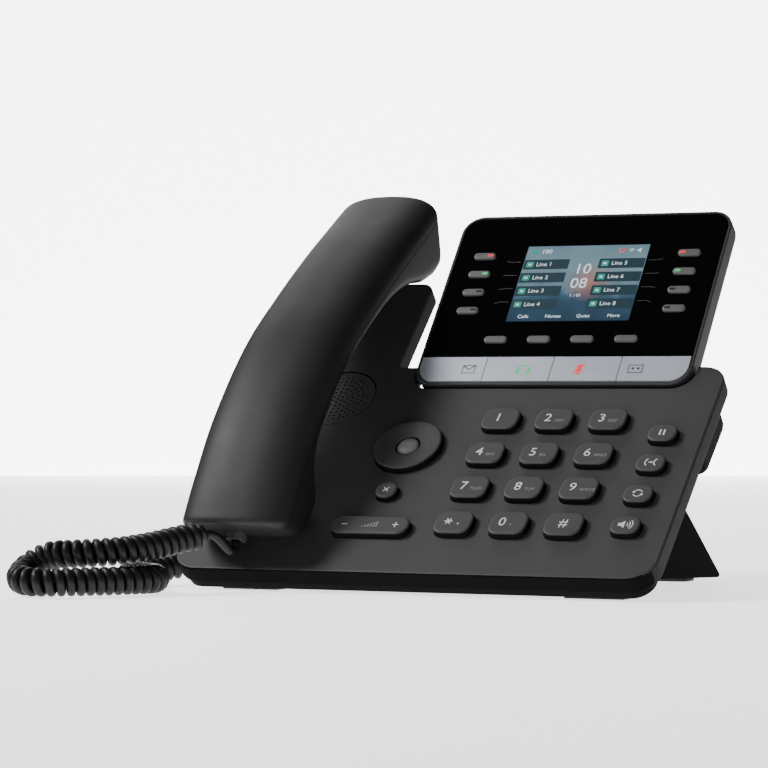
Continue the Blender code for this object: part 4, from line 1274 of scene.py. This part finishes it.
def make_display_keys():
    lights = {"1": RED_LIGHT, "2": GREEN_LIGHT, "3": OFF_LIGHT, "4": OFF_LIGHT}
    for node in LINE_KEYS + SOFT_KEYS:
        size = LINE_SIZE if node in LINE_KEYS else SOFT_SIZE
        centre = key_centre(node, DISPLAY)
        high = extent(node, DISPLAY)[1]
        pill = key_mesh(size, centre, high.z, -FASCIA_THICKNESS - GAP, *PILL_SHAPE)
        piece(f"pill_{node}", pill, node, DISPLAY, PILL_GREY, (node,))
        if node in LINE_KEYS:
            toward = 1 if node[-2] == "l" else -1
            lens = patch(rectangle(*LENS_SIZE, (toward * LENS_SHIFT, 0), 4))
            legend(f"light_{node}", node, DISPLAY, (*centre, high.z + 0.00002),
                   ((lights[node[-1]], [lens]),))


def envelope():
    flap = ((-0.0024, 0.0017), (0, -0.0001), (0.0024, 0.0017))
    return [stroke(rectangle(0.0048, 0.0034, 0), STRIP_INK, True), stroke(flap, STRIP_INK)]


def headset():
    return ([stroke(arc((0, -0.0003), 0.0021, 0, 180, 14), 0.0006)]
            + [patch(rectangle(0.0013, 0.0021, 0.0003, (side * 0.0021, -0.0009), 3))
               for side in (-1, 1)]
            + [stroke([(0.0021, -0.0017), (0.0012, -0.0023), (0.0004, -0.0023)], STRIP_INK)])


def muted_microphone():
    return [patch(rectangle(0.0016, 0.0030, 0.0006, (0, 0.0006), 4)),
            stroke(arc((0, 0.0002), 0.0014, 190, 350), STRIP_INK),
            stroke([(0, -0.0012), (0, -0.0021)], STRIP_INK),
            stroke([(-0.0010, -0.0021), (0.0010, -0.0021)], STRIP_INK),
            stroke([(-0.0018, -0.0017), (0.0018, 0.0022)], 0.0006)]


def card():
    return [stroke(rectangle(0.0052, 0.0034, 0), STRIP_INK, True)] + [
        patch(circle(0.0005, (x, 0.0002), 14)) for x in (-0.0010, 0.0010)]


def make_strip():
    icons = {"key_message": (envelope, DARK_INK), "key_headset": (headset, GREEN_LIGHT),
             "key_mute": (muted_microphone, RED_LIGHT), "key_page": (card, DARK_INK)}
    corner = DISPLAY_CORNER - RIM - GAP
    for number, (node, (icon, material)) in enumerate(icons.items()):
        low, high = extent(node, DISPLAY)
        outline = rounded([(low.x, low.y, corner if number == 0 else 0),
                           (high.x, low.y, corner if number == 3 else 0),
                           (high.x, high.y, 0), (low.x, high.y, 0)], 10)
        piece(f"strip_{node[4:]}", plate([outline], low.z, high.z, 0.00004), node, DISPLAY, SILVER,
              (node,))
        marks = icon()
        for mark in marks:
            mark.transform(Matrix.Diagonal((STRIP_ICON_SCALE, STRIP_ICON_SCALE, 1, 1)))
        place = ((number - 1.5) * STRIP_ICON_PITCH, (low.y + high.y) / 2 - 0.0002,
                 high.z + INK_LIFT)
        legend(f"legend_{node[4:]}", node, DISPLAY, place, ((material, marks),))


def make_screen():
    """The lit screen: picture, line tiles, clock, and status and soft-key rows."""
    middle, width, height = SCREEN
    inset = 0.0002
    module = block((inset - width / 2, middle - height / 2 + inset, -0.0022),
                   (width / 2 - inset, middle + height / 2 - inset, SCREEN_TOP))
    body = block((-0.032, middle - 0.025, -0.0048), (0.032, middle + 0.025, -0.0024), 0.0003)
    piece("screen_module", joined([painted(module, PICTURE), painted(body, STEEL)]), "display",
          DISPLAY, replaces=("lcd_module",), keep_axes=True)
    left, ceiling = -width / 2, middle + height / 2
    status_row = ceiling - STATUS_ROW
    tiles, white, icons = [], [], []
    for row in range(4):
        y = ceiling - FIRST_TILE - row * ROW_PITCH
        for x, number in ((left + TILE_INSET, row + 1), (-left - TILE_INSET, row + 5)):
            badge = (x - BADGE_SHIFT, y)
            tiles.append(patch(rectangle(*TILE_SIZE, (x, y), 1)))
            icons.append(moved(patch(rectangle(0.0034, 0.0032, 0.0004, badge, 3)), (0, 0, 4e-5)))
            white.append(moved(patch(rectangle(0.0014, 0.0010, 0.0002, badge, 2)), (0, 0, 8e-5)))
            white.append(moved(text_mesh(f"Line {number}", 0.0031, (x - 0.0048, y), 0.0, "LEFT"),
                               (0, 0, 4e-5)))
    for words, size, drop, bold in (("10", CLOCK_SIZE, 0.0140, 1e-5),
                                    ("08", CLOCK_SIZE, 0.0222, 1e-5),
                                    ("1 / 01", LETTER_SIZE, 0.0290, 2e-5)):
        white.append(text_mesh(words, size, (0.0004, ceiling - drop), bold))
    for number, words in enumerate(("Calls", "Names", "Quiet", "More")):
        place = ((number - 1.5) * SOFT_WORD_PITCH, middle - height / 2 + 0.0030)
        white.append(text_mesh(words, SOFT_WORD_SIZE, place))
    white.append(text_mesh("100", 0.0034, (left + 0.0072, status_row), 0.00003, "LEFT"))
    icons.append(patch(rectangle(0.0026, 0.0026, 0.0004, (left + 0.0042, status_row), 3)))
    status = -left - 0.0036
    horn = speaker_icon()[0]
    horn.transform(Matrix.Translation((status, status_row, 0)) @ Matrix.Diagonal((0.6, 0.6, 1, 1)))
    white.append(horn)
    white += [stroke(arc((status - 0.0046, ceiling - 0.0046), radius, 50, 130), 0.00035)
              for radius in (0.0009, 0.0019)]
    ring = stroke(rectangle(0.0024, 0.0022, 0.0006, (status - 0.0092, status_row), 3), 0.0004, True)
    legend("screen_contents", "display", DISPLAY, (0, 0, SCREEN_TOP + INK_LIFT),
           ((TILE, tiles), (SCREEN_WHITE, white), (TILE_ICON, icons), (RED_LIGHT, [ring])))


def make_hinge():
    low, high = extent("hinge_shaft", SLAB)
    radius, half = (high.y - low.y) / 2, (high.x - low.x) / 2
    edge = 0.0003
    rod = turned([(0, half), (radius - edge, half), (radius, half - edge), (radius, -half + edge),
                  (radius - edge, -half), (0, -half)], 28)
    piece("hinge_rod", laid_across(rod, (low + high) / 2), "base", SLAB, STEEL,
          ("hinge_shaft",))


# ---------------------------------------------------------------- handset

def value_at(table, x):
    """A smooth curve through the table's (x, value) pairs."""
    i = max(k for k in range(len(table) - 1) if table[k][0] <= x or k == 0)

    def slope(k):
        (x0, y0), (x1, y1) = table[max(k - 1, 0)], table[min(k + 1, len(table) - 1)]
        return (y1 - y0) / (x1 - x0)

    (x0, y0), (x1, y1) = table[i], table[i + 1]
    t, width = (x - x0) / (x1 - x0), x1 - x0
    return ((2 * t ** 3 - 3 * t ** 2 + 1) * y0 + (t ** 3 - 2 * t ** 2 + t) * width * slope(i)
            + (3 * t ** 2 - 2 * t ** 3) * y1 + (t ** 3 - t ** 2) * width * slope(i + 1))


def shrink(distance, radius):
    """How far a rounded edge has drawn in at a distance from the end."""
    if distance >= radius:
        return 0.0
    return radius - math.sqrt(radius ** 2 - (radius - distance) ** 2)


def handset_stations():
    low, high = HANDSET_ENDS
    ends = (0.0, 0.0002, 0.0006, 0.0012, 0.0020, 0.0032, 0.0050, 0.0080)
    middle = [low + 0.012 + (high - low - 0.024) * i / 44 for i in range(45)]
    return [low + end for end in ends] + middle + [high - end for end in reversed(ends)]


def handset_axes(station):
    low, high = HANDSET_ENDS
    lean = HANDSET_FAN * (2 * station - low - high) / (high - low)
    edge = Vector((0, station, value_at(HANDSET_EDGE, station)))
    return edge, Vector((0, -math.sin(lean), -math.cos(lean)))


def handset_outward():
    """The direction in which the plug leaves the handset's lower end."""
    down = handset_axes(HANDSET_ENDS[0])[1]
    return Vector((0, down.z, -down.y))


def end_rounding(station):
    """The half-width and the loss of depth that the rounded ends leave at a station."""
    distance = min(station - HANDSET_ENDS[0], HANDSET_ENDS[1] - station)
    return (HANDSET_HALF_WIDTH - shrink(distance, HANDSET_SIDE_RADIUS),
            shrink(distance, HANDSET_END_RADIUS))


def handset_ring(station, section):
    edge, down = handset_axes(station)
    return [edge + Vector((HANDSET_MIDDLE + across, 0, 0)) + down * depth
            for across, depth in section]


def back_section(station):
    """The crowned back, from its parting line over a round shoulder to its middle."""
    half, lower = end_rounding(station)
    wall = HANDSET_PARTING - HANDSET_WALL
    height = wall + value_at(HANDSET_CROWN, station)
    right = [(half, HANDSET_PARTING), (half, wall)]
    for step in range(1, 24):
        angle = math.pi / 2 * step / 24
        depth = wall - height * math.sin(angle) ** 0.8 + lower
        right.append((half * math.cos(angle) ** 0.8, min(depth, wall - 0.00002 * step)))
    left = [(-across, depth) for across, depth in right]
    return left + [(0, wall - height + lower)] + right[::-1]


def face_section(station):
    """The inner face, from its rim over a curve that turns square where the face is deep."""
    half, less = end_rounding(station)
    depth = value_at(HANDSET_DEPTH, station) - less
    rim = HANDSET_PARTING + GAP
    start = rim + 0.0010
    boxy = 2 + 7 * min(max((depth - 0.0125) / 0.006, 0), 1)
    section = [(half, rim)]
    for step in range(33):
        angle = math.pi * step / 32
        across = math.copysign(abs(math.cos(angle)) ** (2 / boxy), math.cos(angle))
        section.append((half * across, start + (depth - start) * math.sin(angle) ** (2 / boxy)))
    return section + [(-half, rim)]


def shell_mesh(section):
    """An open shell through the handset's sections with flat ends, thickened inwards."""
    rings = [handset_ring(station, section(station)) for station in handset_stations()]
    shape = bmesh.new()
    rows = [[shape.verts.new(point) for point in ring] for ring in rings]
    for lower, upper in zip(rows, rows[1:]):
        for i in range(len(lower) - 1):
            shape.faces.new((lower[i], lower[i + 1], upper[i + 1], upper[i]))
    middles = []
    for row in (rows[0], rows[-1]):
        middle = shape.verts.new((row[0].co + row[-1].co) / 2)
        for a, b in zip(row, row[1:]):
            shape.faces.new((a, b, middle))
        middles.append(middle)
    rim = [middles[0], *(row[0] for row in rows), middles[1]]
    lid = shape.faces.new(rim + [row[-1] for row in reversed(rows)])
    bmesh.ops.recalc_face_normals(shape, faces=shape.faces)
    shape.faces.remove(lid)
    obj = link(bpy.data.objects.new("shell", painted(finished(shape, "shell"), SATIN)))
    solid = obj.modifiers.new("skin", "SOLIDIFY")
    solid.thickness = HANDSET_SKIN
    solid.offset = -1
    solid.use_even_offset = True
    return mesh_from(obj)


def hole_patch(name, station, radius, rings, pitch):
    """A ring pattern of small near-black plates on the handset's inner face: holes drawn as painted
    shade.
    """
    edge, down = handset_axes(station)
    place = edge + down * value_at(HANDSET_DEPTH, station) + Vector((HANDSET_MIDDLE, 0, 0))
    place_in = SLAB @ Matrix.Translation(place) @ axes(ACROSS, down.cross(ACROSS), down)
    meshes = [painted(plate([circle(radius, at, 12)], -0.0004, 0.00004), HOLE_SHADE)
              for at in ringed_places(rings, pitch)]
    piece(name, joined(meshes), "handset", place_in, weighted=False)


def make_handset():
    outward = handset_outward()
    bore = block((-0.0039, -0.0075, -0.0033), (0.0039, 0.0075, 0.0033))
    bore.transform(Matrix.Translation(middle_of("plug_handset", SLAB))
                   @ axes(ACROSS, outward, ACROSS.cross(outward)))
    for name, node, mesh in (
        ("handset_back", "handset_back_shell", shell_mesh(back_section)),
        ("handset_face", "handset_face_shell", cut(shell_mesh(face_section), bore)),
    ):
        piece(name, mesh, "handset", SLAB, SATIN, (node,), angle=38,
              weighted=False)
    hole_patch("earpiece_holes", *EARPIECE_HOLES)
    hole_patch("microphone_holes", *MICROPHONE_HOLES)


# ---------------------------------------------------------------- stand and feet

def side_prism(outline, low, high, edge=0.0):
    """A prism from side to side through an outline in (y, z)."""
    mesh = plate([outline], low, high, edge)
    mesh.transform(Matrix(((0, 0, 1, 0), (1, 0, 0, 0), (0, 1, 0, 0), (0, 0, 0, 1))))
    return moved(mesh, DESK_SHIFT)


def make_stand():
    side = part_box("foot_stand")[1].x - DESK_SHIFT.x
    heel, *others = STAND_SIDE
    outline = rounded([(*heel, 0.0012)] + [(*corner, 0) for corner in others], 8)
    stand = side_prism(outline, -side, side, 0.0005)
    inner = side - STAND_WALL
    stand = cut(stand, side_prism(STAND_HOLLOW, -inner, inner))
    low, high = (Vector((0, *corner)) + DESK_SHIFT for corner in STAND_SIDE[:2])
    lean = math.atan2(high.z - low.z, low.y - high.y)
    window = block((-0.032, -0.010, -0.01), (0.032, 0.010, 0.01))
    window.transform(Matrix.Translation((low + high) / 2) @ Matrix.Rotation(-lean, 4, "X"))
    stand = cut(stand, window)
    piece("stand_frame", stand, "base", WORLD, BLACK, ("foot_stand",))
    for name, x in RIB_PLACES:
        rib = side_prism(STAND_RIB, x - RIB_THICKNESS / 2, x + RIB_THICKNESS / 2, 0.0002)
        piece(f"stand_rib_{name}", rib, "base", WORLD, BLACK)


def make_feet():
    for node in ("front_foot_left", "front_foot_right"):
        low, high = (corner.x - DESK_SHIFT.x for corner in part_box(node))
        piece(f"{node}_rubber", side_prism(FOOT_SIDE, low, high, 0.0004), "base", WORLD, RUBBER,
              (node,))
    low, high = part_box("stand_pad")
    pad = plate([rectangle(high.x - low.x, high.y - low.y, 0.003,
                           ((low.x + high.x) / 2, (low.y + high.y) / 2))], low.z, high.z, 0.0003)
    piece("stand_pad_rubber", pad, "base", WORLD, RUBBER, ("stand_pad",))


def paint_inner_nodes():
    """The CAD nodes that keep their shape inside the body and the handset."""
    for node in ("speaker_driver", "earpiece_driver", "microphone"):
        painted(frame["nodes"][node].data, STEEL)


make_stage()
make_cord()
make_top_cover()
make_grille()
make_bottom_cover()
make_jacks()
make_board()
make_screws()
make_hook()
make_dial_keys()
make_side_keys()
make_volume()
make_navigation()
make_cancel_key()
make_display_shell()
make_fascia()
make_display_keys()
make_strip()
make_screen()
make_hinge()
make_handset()
make_stand()
make_feet()
paint_inner_nodes()
